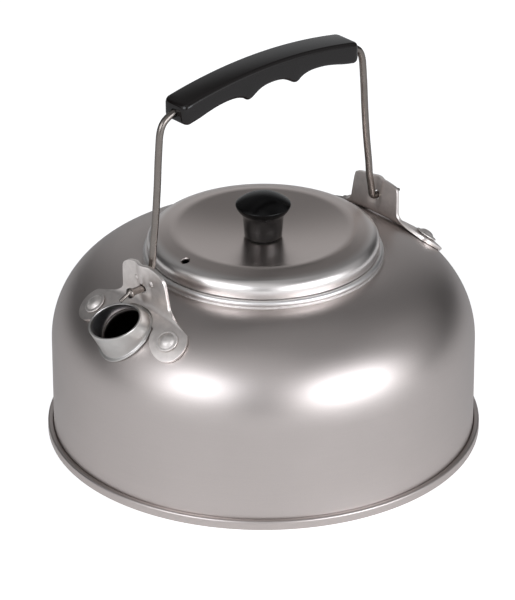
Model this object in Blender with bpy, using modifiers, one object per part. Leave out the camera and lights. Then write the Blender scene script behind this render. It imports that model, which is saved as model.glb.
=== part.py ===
"""Camping kettle: sheet body with a funnel spout, a lift-off lid and a swinging bail handle.

Metres, +Z up. The origin is the centre of the base, the kettle stands on z = 0, the spout points
along -X and the bail hinges about the X direction. Sizes below are in millimetres and are turned
into metres by MM.
"""

import math

import bmesh
import bpy
from mathutils import Matrix, Vector

MM = 0.001
GAP = 0.3  # clearance between touching pieces

# Body shell
WALL_R = 88.0
SHEET = 1.0
SHOULDER_ARC = 36.2
SHOULDER_Z = 42.16
SHOULDER_TURN = math.radians(56.7)
DOME_ARC = 41.23
DOME_END_R = 49.9
NECK_R = 46.7
BEAD_TUBE = 1.5
BEAD_Z = 80.7
FLANGE_R = 89.0
FLANGE_Z = (1.5, 2.7)

# Base plate
RIM_R = 90.5
RIM_TOP = 4.2
PLATE = 1.2
REST_RING_R = 72.0
RECESS = 0.8

# Lid
LID_SHEET = 1.0
DISH_Z = 87.2
CREST_R, CREST_Z = 36.8, 91.7
BAND_SLOPE = math.radians(15.0)
ROUND_R = 4.6
LID_R = 48.0
ROUND_Z = 85.2
SKIRT_R = 46.1
SKIRT_SHEET = 0.8
SKIRT_Z = 72.0
VENT_R, VENT_AT = 1.75, 42.4

# Knob and its screw
KNOB_Z = 87.7
KNOB_CAP_ARC = 16.4
KNOB_CAP_Z = 102.4
SCREW_R = 2.0
SCREW_TOP = 98.0
CLEARANCE_R = 2.4
WASHER_R, WASHER_T = 5.0, 1.0
HEAD_R, HEAD_T = 3.8, 2.4

# Bail handle
HINGE_Z = 85.5
WIRE_R = 1.5
WIRE_X = 61.1
WIRE_BEND = 2.15
PEG_END = 76.9
STUB_DROP = 2.0
GRIP_HALF = 47.4
GRIP_WIDE = 13.8
GRIP_ROUND = 1.6

# Ear brackets
BRACKET_SHEET = 1.4
FOLD_X, FOLD_Z = 62.0, 78.5
TAB_LEAN = math.radians(6.0)
TAB_TOP = 92.3
TAB_HALF = 12.8
TAB_FLARE = 0.1
TAB_DROP = 9.5
FRONT_CREST, REAR_CREST = (4.0, 3.2), (1.5, 3.0)  # rise of the tab's top, and how square it is
CREST_DEPTH = 7.0
FOLD_RISE = 0.7
FOOT_SPREAD = 2.2
GROOVE_DEEP, GROOVE_HALF = 1.3, 3.0
EAR = Vector((69.6, 21.6))
EAR_RX, EAR_RY = 6.6, 8.7
CUT_X, CUT_RX, CUT_RY = 74.5, 10.2, 13.6
WIRE_HOLE_R = 1.9
RIVET = Vector((70.5, 22.0))
SHANK_R, RIVET_HOLE_R = 2.4, 2.75

# Spout
SPOUT_FOOT = Vector((-74.25, 0.0))
FOOT_RX, FOOT_RY = 9.35, 12.7
MOUTH = Vector((-80.0, 0.0, 75.8))
MOUTH_R = 11.0
MOUTH_TILT = math.radians(70.6)
SPOUT_SHEET = 0.9
SPOUT_HOLE = Vector((-75.1, 0.0, 69.5))
SPOUT_HOLE_R = 10.2
SPOUT_HOLE_TILT = math.radians(47.5)

ALUMINIUM = ((0.62, 0.58, 0.55), 0.38, 1.0)
STEEL = ((0.55, 0.50, 0.46), 0.35, 1.0)
ZINC = ((0.60, 0.59, 0.57), 0.40, 1.0)
BLACK = ((0.012, 0.012, 0.013), 0.22, 0.0)


def clear_scene():
    """Removes what the startup scene holds."""
    for obj in list(bpy.data.objects):
        bpy.data.objects.remove(obj, do_unlink=True)


def new_collection(name, hidden=False):
    """A collection under the scene; the cutters' one stays out of renders."""
    collection = bpy.data.collections.new(name)
    bpy.context.scene.collection.children.link(collection)
    collection.hide_render = hidden
    return collection


def paint(obj, finish):
    """Gives the object its own Principled material."""
    colour, roughness, metallic = finish
    material = bpy.data.materials.new(obj.name)
    material.use_nodes = True
    shader = material.node_tree.nodes["Principled BSDF"]
    shader.inputs["Base Color"].default_value = (*colour, 1.0)
    shader.inputs["Roughness"].default_value = roughness
    shader.inputs["Metallic"].default_value = metallic
    obj.data.materials.append(material)


def add_mesh(name, bm, collection, smooth=True):
    """Turns a bmesh given in millimetres into an object in metres."""
    bmesh.ops.scale(bm, vec=Vector((MM, MM, MM)), verts=bm.verts)
    mesh = bpy.data.meshes.new(name)
    bm.to_mesh(mesh)
    bm.free()
    if smooth:
        mesh.shade_smooth()
        mesh.set_sharp_from_angle(angle=math.radians(35))
    obj = bpy.data.objects.new(name, mesh)
    collection.objects.link(obj)
    return obj


def arc(centre, radius, start, end, steps):
    """Points of an arc in the (radius, height) plane, angles in radians from the radial axis."""
    angles = [start + (end - start) * i / steps for i in range(steps + 1)]
    return [(centre[0] + radius * math.cos(a), centre[1] + radius * math.sin(a)) for a in angles]


def offset_line(points, distance):
    """The open polyline moved sideways by a distance, to its right as it runs, with mitred corners."""
    moved = []
    for i, (r, z) in enumerate(points):
        normals = []
        for j in (i - 1, i):
            if 0 <= j < len(points) - 1:
                dr, dz = points[j + 1][0] - points[j][0], points[j + 1][1] - points[j][1]
                length = math.hypot(dr, dz)
                normals.append((dz / length, -dr / length))
        nr = sum(n[0] for n in normals) / len(normals)
        nz = sum(n[1] for n in normals) / len(normals)
        scale = distance / (nr * nr + nz * nz)
        moved.append((r + nr * scale, z + nz * scale))
    return moved


def turn(name, outline, collection, segments, closed=True):
    """Revolves an outline of (radius, height) points round Z with a Screw modifier."""
    bm = bmesh.new()
    verts = [bm.verts.new((r, 0.0, z)) for r, z in outline]
    for first, second in zip(verts, verts[1:]):
        bm.edges.new((first, second))
    if closed:
        bm.edges.new((verts[-1], verts[0]))
    obj = add_mesh(name, bm, collection, smooth=False)
    screw = obj.modifiers.new("turn", "SCREW")
    screw.steps = screw.render_steps = segments
    screw.use_merge_vertices = True
    screw.merge_threshold = 0.00001
    screw.use_smooth_shade = True
    return obj


def bake(obj, join_flats=False):
    """Applies an object's modifiers, so that curves and turned shapes can be cut or joined."""
    graph = bpy.context.evaluated_depsgraph_get()
    mesh = bpy.data.meshes.new_from_object(obj.evaluated_get(graph))
    bm = bmesh.new()
    bm.from_mesh(mesh)
    bmesh.ops.remove_doubles(bm, verts=bm.verts, dist=0.000002)
    bmesh.ops.recalc_face_normals(bm, faces=bm.faces)
    if join_flats:
        flat = math.radians(0.5)
        bmesh.ops.dissolve_limit(bm, angle_limit=flat, verts=bm.verts, edges=bm.edges)
    bm.to_mesh(mesh)
    bm.free()
    mesh.shade_smooth()
    mesh.set_sharp_from_angle(angle=math.radians(35))
    made = bpy.data.objects.new(obj.name, mesh)
    for collection in obj.users_collection:
        collection.objects.link(made)
    made.matrix_world = obj.matrix_world.copy()
    name = obj.name
    bpy.data.objects.remove(obj, do_unlink=True)
    made.name = name
    return made


def cylinder(name, centre, axis, radius, length, collection, segments=24):
    """A closed cylinder used as a cutter, centred on a point."""
    bm = bmesh.new()
    bmesh.ops.create_cone(
        bm, cap_ends=True, segments=segments, radius1=radius, radius2=radius, depth=length
    )
    turn_to = Vector(axis).to_track_quat("Z", "Y").to_matrix().to_4x4()
    bmesh.ops.transform(bm, matrix=Matrix.Translation(centre) @ turn_to, verts=bm.verts)
    return add_mesh(name, bm, collection, smooth=False)


def cut(obj, cutter):
    """Takes a cutter out of an object."""
    cutter.hide_render = True
    cutter.display_type = "WIRE"
    modifier = obj.modifiers.new(cutter.name, "BOOLEAN")
    modifier.operation = "DIFFERENCE"
    modifier.solver = "EXACT"
    modifier.object = cutter


def shoulder_end():
    """Where the shoulder's arc hands over to the dome's flatter arc."""
    centre_r = WALL_R - SHOULDER_ARC
    r = centre_r + SHOULDER_ARC * math.cos(SHOULDER_TURN)
    z = SHOULDER_Z + SHOULDER_ARC * math.sin(SHOULDER_TURN)
    return r, z


def dome_centre():
    """Centre of the dome's flatter arc, tangent to the shoulder's."""
    r, z = shoulder_end()
    return r - DOME_ARC * math.cos(SHOULDER_TURN), z - DOME_ARC * math.sin(SHOULDER_TURN)


def dome_height(r):
    """Height of the shell's outer face at a distance r from the axis."""
    if r > shoulder_end()[0]:
        inside = SHOULDER_ARC**2 - (r - WALL_R + SHOULDER_ARC) ** 2
        return SHOULDER_Z + math.sqrt(max(inside, 0.0))
    centre = dome_centre()
    return centre[1] + math.sqrt(DOME_ARC**2 - (r - centre[0]) ** 2)


def dome_normal(x, y):
    """Outward normal of the shell above the plan point (x, y)."""
    r = math.hypot(x, y)
    if r > shoulder_end()[0]:
        lean = (r - WALL_R + SHOULDER_ARC) / SHOULDER_ARC
    else:
        lean = (r - dome_centre()[0]) / DOME_ARC
    return Vector((x / r * lean, y / r * lean, math.sqrt(1 - lean * lean)))


def over_dome(x, y, height):
    """The point that lies a given height above the shell, at the plan point (x, y) of its face."""
    return Vector((x, y, dome_height(math.hypot(x, y)))) + dome_normal(x, y) * height


def spout_frame(tilt, centre):
    """Axes of a spout ring: forward along its slope, sideways and out along its normal."""
    out = Vector((-math.cos(tilt), 0.0, math.sin(tilt)))
    side = Vector((0.0, 1.0, 0.0))
    return Matrix.Translation(centre) @ Matrix((side.cross(out), side, out)).transposed().to_4x4()


def make_body(parts, cutters):
    """The drawn shell, open at the neck and at the flange that the base plate folds over."""
    shoulder = (WALL_R - SHOULDER_ARC, SHOULDER_Z)
    start = math.acos((DOME_END_R - dome_centre()[0]) / DOME_ARC)
    outer = arc(dome_centre(), DOME_ARC, start, SHOULDER_TURN, 4)
    outer += arc(shoulder, SHOULDER_ARC, SHOULDER_TURN, 0.0, 8)[1:]
    outer += [(WALL_R, FLANGE_Z[1] + 1.0)]
    inner = offset_line(outer, SHEET)[::-1]
    inner[0] = (WALL_R - SHEET, FLANGE_Z[0])
    bead = arc((NECK_R + BEAD_TUBE, BEAD_Z), BEAD_TUBE, math.pi, -0.9, 6)
    flange = [(WALL_R, FLANGE_Z[1]), (FLANGE_R, FLANGE_Z[1]), (FLANGE_R, FLANGE_Z[0])]
    neck = [(NECK_R, inner[-1][1] - 0.1)]
    body = bake(turn("kettle_body", bead + outer + flange + inner + neck, parts, 60))
    axis = Vector((-math.cos(SPOUT_HOLE_TILT), 0.0, math.sin(SPOUT_HOLE_TILT)))
    cut(body, cylinder("spout_hole", SPOUT_HOLE, axis, SPOUT_HOLE_R, 14.0, cutters, 40))
    return body


def make_base(parts):
    """Bottom sheet: recessed centre, flat resting ring and the rim folded over the shell's flange."""
    fold_r = FLANGE_R + GAP
    rim = arc((RIM_R - 1.1, RIM_TOP - 1.1), 1.1, math.radians(100), 0.0, 3)
    rim += arc((RIM_R - 0.9, 0.9), 0.9, 0.0, -math.pi / 2, 2)
    under = [(REST_RING_R, 0.0), (REST_RING_R - 1.2, RECESS), (0.0, RECESS)]
    top = [(0.0, RECESS + PLATE), (REST_RING_R - 0.7, RECESS + PLATE), (REST_RING_R + 0.5, PLATE)]
    lip_r = WALL_R + GAP
    fold = [(fold_r, PLATE), (fold_r, FLANGE_Z[1] + GAP), (lip_r, FLANGE_Z[1] + GAP)]
    fold += [(lip_r, RIM_TOP - 0.3), (lip_r + 0.3, RIM_TOP)]
    return bake(turn("base_plate", rim + under + top + fold, parts, 60))


def lid_top_line():
    """Upper face of the lid from its centre to the foot of its upright edge."""
    dish_arc = (CREST_R**2 + (CREST_Z - DISH_Z) ** 2) / (2 * (CREST_Z - DISH_Z))
    spread = math.asin(CREST_R / dish_arc)
    dish = arc((0.0, DISH_Z + dish_arc), dish_arc, -math.pi / 2, -math.pi / 2 + spread, 4)
    dish[-1] = (CREST_R - 0.6, CREST_Z - 0.15)
    edge = arc((LID_R - ROUND_R, ROUND_Z), ROUND_R, math.pi / 2 - BAND_SLOPE, 0.0, 5)
    return dish + [(CREST_R + 0.6, CREST_Z - 0.15)] + edge


def make_lid(parts, cutters):
    """Dished sheet with a rounded edge that rests on the bead and a skirt inside the neck."""
    top = lid_top_line()
    seat = BEAD_Z + BEAD_TUBE + GAP
    under = offset_line(top, LID_SHEET)[::-1]
    hem = [(LID_R, seat), (SKIRT_R, seat), (SKIRT_R, SKIRT_Z), (SKIRT_R - SKIRT_SHEET, SKIRT_Z)]
    inside = [(SKIRT_R - SKIRT_SHEET, seat + LID_SHEET), (LID_R - LID_SHEET, seat + LID_SHEET)]
    under[-1] = (0.0, under[-1][1])
    lid = bake(turn("lid", top + hem + inside + under, parts, 48, closed=False))
    bore = Vector((0.0, 0.0, DISH_Z))
    cut(lid, cylinder("knob_hole", bore, (0, 0, 1), CLEARANCE_R, 8.0, cutters, 20))
    vent = Vector((-VENT_AT, 0.0, ROUND_Z + ROUND_R))
    cut(lid, cylinder("vent_hole", vent, (0, 0, 1), VENT_R, 5.0, cutters, 16))
    return lid


def make_knob(parts):
    """Moulded knob: waisted stem under a domed cap, with a blind bore for the screw."""
    cap_r = 11.0
    spread = math.asin(cap_r / KNOB_CAP_ARC)
    centre = (0.0, KNOB_CAP_Z - KNOB_CAP_ARC * math.cos(spread))
    cap = arc(centre, KNOB_CAP_ARC, math.pi / 2, math.pi / 2 - spread, 4)
    stem = [(11.4, 101.8), (11.2, 101.0), (10.3, 99.6), (8.75, 97.4), (8.05, 93.5), (7.5, KNOB_Z + 0.6)]
    foot = [(6.9, KNOB_Z), (CLEARANCE_R, KNOB_Z), (CLEARANCE_R, SCREW_TOP + 0.6), (0.0, SCREW_TOP + 0.6)]
    return bake(turn("lid_knob", cap + stem + foot, parts, 32, closed=False))


def make_screw(parts):
    """Pan head screw that holds the knob from below the lid."""
    head_top = DISH_Z - LID_SHEET - GAP - WASHER_T - GAP
    tip = [(0.0, SCREW_TOP), (SCREW_R - 0.5, SCREW_TOP), (SCREW_R, SCREW_TOP - 0.5)]
    head = [(SCREW_R, head_top), (HEAD_R, head_top), (HEAD_R, head_top - 1.0)]
    crown = [(HEAD_R - 1.2, head_top - HEAD_T), (0.0, head_top - HEAD_T)]
    return bake(turn("knob_screw", tip + head + crown, parts, 20, closed=False))


def make_washer(parts):
    """Flat washer between the screw's head and the lid."""
    top = DISH_Z - LID_SHEET - GAP
    bottom = top - WASHER_T
    ring = [(CLEARANCE_R, top), (WASHER_R, top), (WASHER_R, bottom), (CLEARANCE_R, bottom)]
    return bake(turn("knob_washer", ring, parts, 24))


def curve_object(name, points, radii, collection, resolution=2):
    """A round wire along points given in millimetres, with a radius at each."""
    curve = bpy.data.curves.new(name, "CURVE")
    curve.dimensions = "3D"
    curve.bevel_depth = MM
    curve.bevel_resolution = resolution
    curve.use_fill_caps = True
    spline = curve.splines.new("POLY")
    spline.points.add(len(points) - 1)
    for point, place, radius in zip(spline.points, points, radii):
        point.co = (*(Vector(place) * MM), 1.0)
        point.radius = radius
    obj = bpy.data.objects.new(name, curve)
    collection.objects.link(obj)
    return obj


def grip_arc():
    """Radius and centre height of the wire's arc inside the grip."""
    rise, half = 162.8 - 157.6, 47.7
    radius = (half**2 + rise**2) / (2 * rise)
    return radius, 162.8 - radius


def wire_side():
    """One side of the wire, from the hinge peg up to the middle of the grip, as (x, z)."""
    bend_x, bend_z = WIRE_X + WIRE_BEND, HINGE_Z + WIRE_BEND
    turn_up = arc((bend_x, bend_z), WIRE_BEND, -math.pi / 2, -math.pi, 4)
    side = [(PEG_END, HINGE_Z - STUB_DROP), (PEG_END - 3.1, HINGE_Z), *turn_up]
    side += [(60.4, 92.2), (59.7, 96.0), (59.1, 103.0), (57.7, 115.0), (56.6, 128.0), (56.0, 138.0)]
    side += [(55.3, 147.0), (54.9, 150.3), (54.1, 153.0), (52.6, 155.2), (50.3, 156.6)]
    radius, centre = grip_arc()
    spread = math.asin(47.7 / radius)
    return side + arc((0.0, centre), radius, math.pi / 2 - spread, math.pi / 2, 6)


def make_wire(parts):
    """The bail's wire: a peg with a crimped end at each side and the arc through the grip."""
    half = wire_side()
    points = half + [(-x, z) for x, z in half[-2::-1]]
    radii = [1.0, 1.0] + [WIRE_R] * (len(points) - 4) + [1.0, 1.0]
    flare_x = PEG_END - 4.6
    flare = [(flare_x, 2.15), (flare_x - 1.0, 2.1), (flare_x - 2.2, WIRE_R)]
    left = [(-x, HINGE_Z) for x, _ in flare[::-1]]
    points = points[:2] + [(x, HINGE_Z) for x, _ in flare] + points[2:-2] + left + points[-2:]
    radii = radii[:2] + [r for _, r in flare] + radii[2:-2] + [r for _, r in flare[::-1]] + radii[-2:]
    places = [(x, 0.0, z) for x, z in points]
    return bake(curve_object("bail_wire", places, radii, parts))


def grip_outline():
    """Front outline of the grip: arched top and three finger scallops below, as (x, z)."""
    top_radius = (GRIP_HALF**2 + 4.9**2) / (2 * 4.9)
    spread = math.asin((GRIP_HALF - 1.5) / top_radius)
    centre = (0.0, 167.2 - top_radius)
    top = arc(centre, top_radius, math.pi / 2 + spread, math.pi / 2 - spread, 16)
    right = [(GRIP_HALF, 160.9), (GRIP_HALF, 154.9)]
    outer_scallop = [(46.4, 153.6), (44.4, 153.4), (39.5, 154.4), (34.0, 155.9), (28.5, 157.0)]
    outer_scallop += [(22.8, 157.4), (18.8, 157.1), (15.7, 156.2), (14.0, 155.1), (12.7, 154.7)]
    middle = [(11.3, 155.0), (9.0, 156.5), (5.7, 157.9), (2.3, 158.5)]
    lower = outer_scallop + middle
    return top + right + lower + [(-x, z) for x, z in (right + lower)[::-1]]


def make_grip(parts, cutters):
    """Moulded grip: an extruded outline with rounded edges, bored along the wire's arc."""
    curve = bpy.data.curves.new("grip", "CURVE")
    curve.dimensions = "2D"
    curve.fill_mode = "BOTH"
    curve.extrude = GRIP_WIDE / 2 * MM
    outline = grip_outline()
    spline = curve.splines.new("POLY")
    spline.points.add(len(outline) - 1)
    for point, (x, z) in zip(spline.points, outline):
        point.co = (x * MM, z * MM, 0.0, 1.0)
    spline.use_cyclic_u = True
    obj = bpy.data.objects.new("grip", curve)
    obj.rotation_euler = (math.pi / 2, 0.0, 0.0)
    parts.objects.link(obj)
    bpy.context.view_layer.update()
    grip = bake(obj, join_flats=True)
    rounding = grip.modifiers.new("rounding", "BEVEL")
    rounding.width = GRIP_ROUND * MM
    rounding.segments = 3
    rounding.limit_method = "ANGLE"
    rounding.angle_limit = math.radians(60)
    radius, centre = grip_arc()
    spread = math.asin(52.0 / radius)
    bore = arc((0.0, centre), radius, math.pi / 2 - spread, math.pi / 2 + spread, 14)
    places = [(x, 0.0, z) for x, z in bore]
    cut(grip, bake(curve_object("grip_bore", places, [WIRE_R + GAP] * len(places), cutters)))
    return grip


def tab_point(y, z):
    """A point of a tab's inner face, on its leaning plane with the wire's groove pressed outwards."""
    groove = 0.0
    if y < GROOVE_HALF:
        groove = GROOVE_DEEP * (0.5 + 0.5 * math.cos(math.pi * y / GROOVE_HALF))
    return Vector((FOLD_X + (z - FOLD_Z) * math.tan(TAB_LEAN) + groove, y, z))


def tab_rows(shares, crest):
    """Rows of a half tab from its crested top edge down to the bend."""
    rise, power = crest
    rows = []
    for drop, narrow in ((0.0, 1.4), (0.5, 0.5), (1.6, 0.0), (4.2, 0.0), (6.8, 0.0), (TAB_DROP, 0.0)):
        half = TAB_HALF + TAB_FLARE * drop - narrow
        arch = rise * max(0.0, 1.0 - drop / CREST_DEPTH)
        row = []
        for share in shares:
            y = half * share
            lift = arch * max(0.0, 1.0 - (y / TAB_HALF) ** power)
            row.append(tab_point(y, TAB_TOP - drop + lift))
        rows.append(row)
    return rows


def ear_sides(x):
    """Inner and outer edge of a half flange at the distance x from the kettle's axis."""
    lobe = EAR_RY * math.sqrt(1.0 - ((x - EAR.x) / EAR_RX) ** 2)
    inner = 0.0
    if x > CUT_X - CUT_RX:
        inner = CUT_RY * math.sqrt(1.0 - (min(x - CUT_X, 0.0) / CUT_RX) ** 2)
    if x > EAR.x:
        inner = max(inner, EAR.y - lobe)
    return inner, EAR.y + lobe


def ear_rows(shares):
    """Rows of a half flange on the shell, from the bend outwards to the ear's far edge."""
    rows = []
    for x in (64.3, 64.7, 65.6, 67.2, 69.0, 71.0, 73.0, 74.6, 75.7, 76.1):
        inner, outer = ear_sides(x)
        rows.append([over_dome(x, inner + (outer - inner) * share, GAP) for share in shares])
    return rows


def rise_over_dome(point):
    """How far a point lies straight above the shell."""
    return point.z - dome_height(math.hypot(point.x, point.y))


def bend_rows(above, below):
    """Rows that carry the tab round the fold into the flange, widening mostly at the foot."""
    rows = []
    for t in (0.2, 0.4, 0.6, 0.8):
        row = []
        for high, low in zip(above, below):
            weights = ((1 - t) ** 2, 2 * t * (1 - t), t * t)
            x = high.x * weights[0] + FOLD_X * weights[1] + low.x * weights[2]
            y = high.y + (low.y - high.y) * t**FOOT_SPREAD
            rises = (rise_over_dome(high), FOLD_RISE, rise_over_dome(low))
            rise = sum(weight * part for weight, part in zip(weights, rises))
            row.append(Vector((x, y, dome_height(math.hypot(x, y)) + rise)))
        rows.append(row)
    return rows


def make_bracket(name, side, parts, cutters):
    """A stamped ear bracket; side is -1 at the spout and +1 at the back."""
    shares = (0.0, 0.08, 0.16, 0.24, 0.45, 0.65, 0.84, 1.0)
    crest = FRONT_CREST if side < 0 else REAR_CREST
    tab, flange = tab_rows(shares, crest), ear_rows(shares)
    rows = tab + bend_rows(tab[-1], flange[0]) + flange
    bm = bmesh.new()
    grid = [[bm.verts.new((side * p.x, p.y, p.z)) for p in row] for row in rows]
    for upper, lower in zip(grid, grid[1:]):
        for i in range(len(shares) - 1):
            bm.faces.new((upper[i], upper[i + 1], lower[i + 1], lower[i])[::-side])
    bracket = add_mesh(name, bm, parts)
    mirror = bracket.modifiers.new("mirror", "MIRROR")
    mirror.use_axis = (False, True, False)
    mirror.merge_threshold = 0.00001
    sheet = bracket.modifiers.new("sheet", "SOLIDIFY")
    sheet.thickness = BRACKET_SHEET * MM
    sheet.offset = 1.0
    sheet.use_even_offset = True
    hinge = Vector((side * (FOLD_X + 1.5), 0.0, HINGE_Z))
    cut(bracket, cylinder(f"{name}_wire_hole", hinge, (1, 0, 0), WIRE_HOLE_R, 10.0, cutters, 20))
    for y in (-RIVET.y, RIVET.y):
        seat = over_dome(side * RIVET.x, y, 0.0)
        normal = dome_normal(side * RIVET.x, y)
        label = f"{name}_rivet_hole_{'left' if y > 0 else 'right'}"
        cut(bracket, cylinder(label, seat, normal, RIVET_HOLE_R, 9.0, cutters, 20))
    return bracket


def make_rivet(name, x, y, parts):
    """A rivet along the shell's normal: flanged dome outside, shank, upset tail inside."""
    top = GAP + BRACKET_SHEET + GAP
    tail = -SHEET - 0.2 - GAP
    head = [(0.0, top + 2.0), (1.6, top + 1.75), (2.8, top + 1.15), (3.4, top + 0.7), (4.5, top + 0.5)]
    shank = [(4.7, top + 0.2), (4.7, top), (SHANK_R, top), (SHANK_R, tail)]
    upset = [(3.6, tail), (3.7, tail - 0.6), (2.6, tail - 1.2), (0.0, tail - 1.2)]
    rivet = bake(turn(name, head + shank + upset, parts, 14, closed=False))
    normal = dome_normal(x, y)
    seat = over_dome(x, y, 0.0)
    rivet.matrix_world = Matrix.Translation(seat * MM) @ normal.to_track_quat("Z", "Y").to_matrix().to_4x4()
    return rivet


def spout_rings(steps):
    """Rings of the spout's sheet, from the foot's outer edge over the mouth and back inside."""
    mouth = spout_frame(MOUTH_TILT, MOUTH)
    turns = [2 * math.pi * i / steps for i in range(steps)]

    def foot(radius, height):
        """A ring that follows the shell at a height above it."""
        scale = radius / FOOT_RY
        rx, ry = FOOT_RX * scale, FOOT_RY * scale
        return [
            over_dome(SPOUT_FOOT.x + rx * math.cos(a), ry * math.sin(a), height) for a in turns
        ]

    def lip(radius, height):
        """A flat ring at the mouth."""
        return [mouth @ Vector((radius * math.cos(a), radius * math.sin(a), height)) for a in turns]

    def between(first, second, share):
        """A ring part of the way from one to another."""
        return [a.lerp(b, share) for a, b in zip(first, second)]

    waist, outer_lip = foot(11.8, 1.7), lip(MOUTH_R, -0.3)
    inner_lip, inner_foot = lip(MOUTH_R - SPOUT_SHEET, -0.3), foot(10.9, GAP)
    flange = [foot(12.5, GAP), foot(12.9, 0.8), foot(12.6, 1.5)]
    wall = [waist, between(waist, outer_lip, 0.33), between(waist, outer_lip, 0.67), outer_lip]
    mouth_edge = [lip(MOUTH_R - SPOUT_SHEET / 2, 0.15)]
    bore = [inner_lip, between(inner_lip, inner_foot, 0.5), inner_foot]
    return flange + wall + mouth_edge + bore


def make_spout(parts):
    """Short funnel spout: a loft from the foot on the shell to the tilted round mouth."""
    steps = 40
    bm = bmesh.new()
    rings = [[bm.verts.new(point) for point in ring] for ring in spout_rings(steps)]
    for first, second in zip(rings, rings[1:] + rings[:1]):
        for i in range(steps):
            j = (i + 1) % steps
            bm.faces.new((first[i], first[j], second[j], second[i]))
    bmesh.ops.recalc_face_normals(bm, faces=bm.faces)
    return add_mesh("spout", bm, parts)


def hang_on(parent_name, place, children, parts):
    """Parents pieces that move together to an empty on their joint."""
    empty = bpy.data.objects.new(parent_name, None)
    parts.objects.link(empty)
    empty.location = Vector(place) * MM
    bpy.context.view_layer.update()
    for child in children:
        world = child.matrix_world.copy()
        child.parent = empty
        child.matrix_parent_inverse = empty.matrix_world.inverted()
        child.matrix_world = world


def main():
    clear_scene()
    parts = new_collection("camping_kettle")
    cutters = new_collection("cutters", hidden=True)

    body = make_body(parts, cutters)
    paint(body, ALUMINIUM)
    paint(make_base(parts), ALUMINIUM)
    paint(make_spout(parts), ALUMINIUM)
    for place, side in (("front", -1), ("rear", 1)):
        paint(make_bracket(f"{place}_bracket", side, parts, cutters), STEEL)
        for hand, y in (("left", RIVET.y), ("right", -RIVET.y)):
            x = side * RIVET.x
            paint(make_rivet(f"{place}_rivet_{hand}", x, y, parts), ALUMINIUM)
            hole = over_dome(x, y, 0.0)
            label = f"shell_{place}_rivet_hole_{hand}"
            cut(body, cylinder(label, hole, dome_normal(x, y), RIVET_HOLE_R, 9.0, cutters, 20))

    lid = make_lid(parts, cutters)
    knob, screw, washer = make_knob(parts), make_screw(parts), make_washer(parts)
    for piece, finish in ((lid, ALUMINIUM), (knob, BLACK), (screw, ZINC), (washer, ZINC)):
        paint(piece, finish)
    hang_on("lid_lift", (0.0, 0.0, BEAD_Z + BEAD_TUBE), (lid, knob, screw, washer), parts)

    wire, grip = make_wire(parts), make_grip(parts, cutters)
    paint(wire, STEEL)
    paint(grip, BLACK)
    hang_on("bail_hinge", (0.0, 0.0, HINGE_Z), (wire, grip), parts)


if __name__ == "__main__":
    main()
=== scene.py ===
"""Dresses the camping kettle: satin aluminium body and lid, pressed ears, wire bail and black grip.

Each piece stands for one of the kettle's construction solids, in its place and at its size. Sizes
are in millimetres and are turned into metres when a piece's mesh is finished. The spout points
along -X, the kettle stands on z = 0 and the bail hinges about the X direction.
"""

import sys

import logging
import math
from dataclasses import dataclass, field
from enum import Enum
from functools import partial
from typing import Callable, Sequence, Union

import bmesh
import bpy
from mathutils import Matrix, Vector


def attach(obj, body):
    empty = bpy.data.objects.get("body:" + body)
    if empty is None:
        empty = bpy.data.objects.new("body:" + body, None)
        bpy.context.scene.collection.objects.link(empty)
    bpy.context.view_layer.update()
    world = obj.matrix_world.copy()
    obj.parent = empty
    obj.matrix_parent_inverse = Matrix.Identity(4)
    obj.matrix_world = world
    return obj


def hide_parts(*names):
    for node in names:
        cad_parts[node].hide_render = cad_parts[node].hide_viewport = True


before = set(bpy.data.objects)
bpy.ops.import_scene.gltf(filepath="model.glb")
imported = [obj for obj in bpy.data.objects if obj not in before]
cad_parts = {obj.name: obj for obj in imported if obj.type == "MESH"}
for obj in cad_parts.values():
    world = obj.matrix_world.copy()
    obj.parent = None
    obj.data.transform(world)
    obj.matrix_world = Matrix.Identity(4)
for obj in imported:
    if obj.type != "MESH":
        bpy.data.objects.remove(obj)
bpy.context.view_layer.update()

MM = 0.001  # a millimetre in metres
GAP = 0.3  # the clearance that the solids keep between two pieces
WELD = 0.0005  # vertices closer than this become one
HINGE_Z = 85.5  # the height of the bail's hinge
UP = Vector((0.0, 0.0, 1.0))

log = logging.getLogger("kettle")

Point = tuple[float, float]
Station = tuple[float, float, float, float]
Colour = tuple[float, float, float]
Fed = Union["Signal", bpy.types.NodeSocket, float, Sequence[float]]


class Body(Enum):
    """The kettle's three bodies, which move against each other."""

    KETTLE = "kettle"
    LID = "lid"
    BAIL = "bail"


class Side(Enum):
    """Which end of the kettle a bracket or rivet is on, as the sign of its X."""

    FRONT = -1
    REAR = 1


class Hand(Enum):
    """Left or right of a bracket, as the sign of Y."""

    LEFT = 1
    RIGHT = -1


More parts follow.
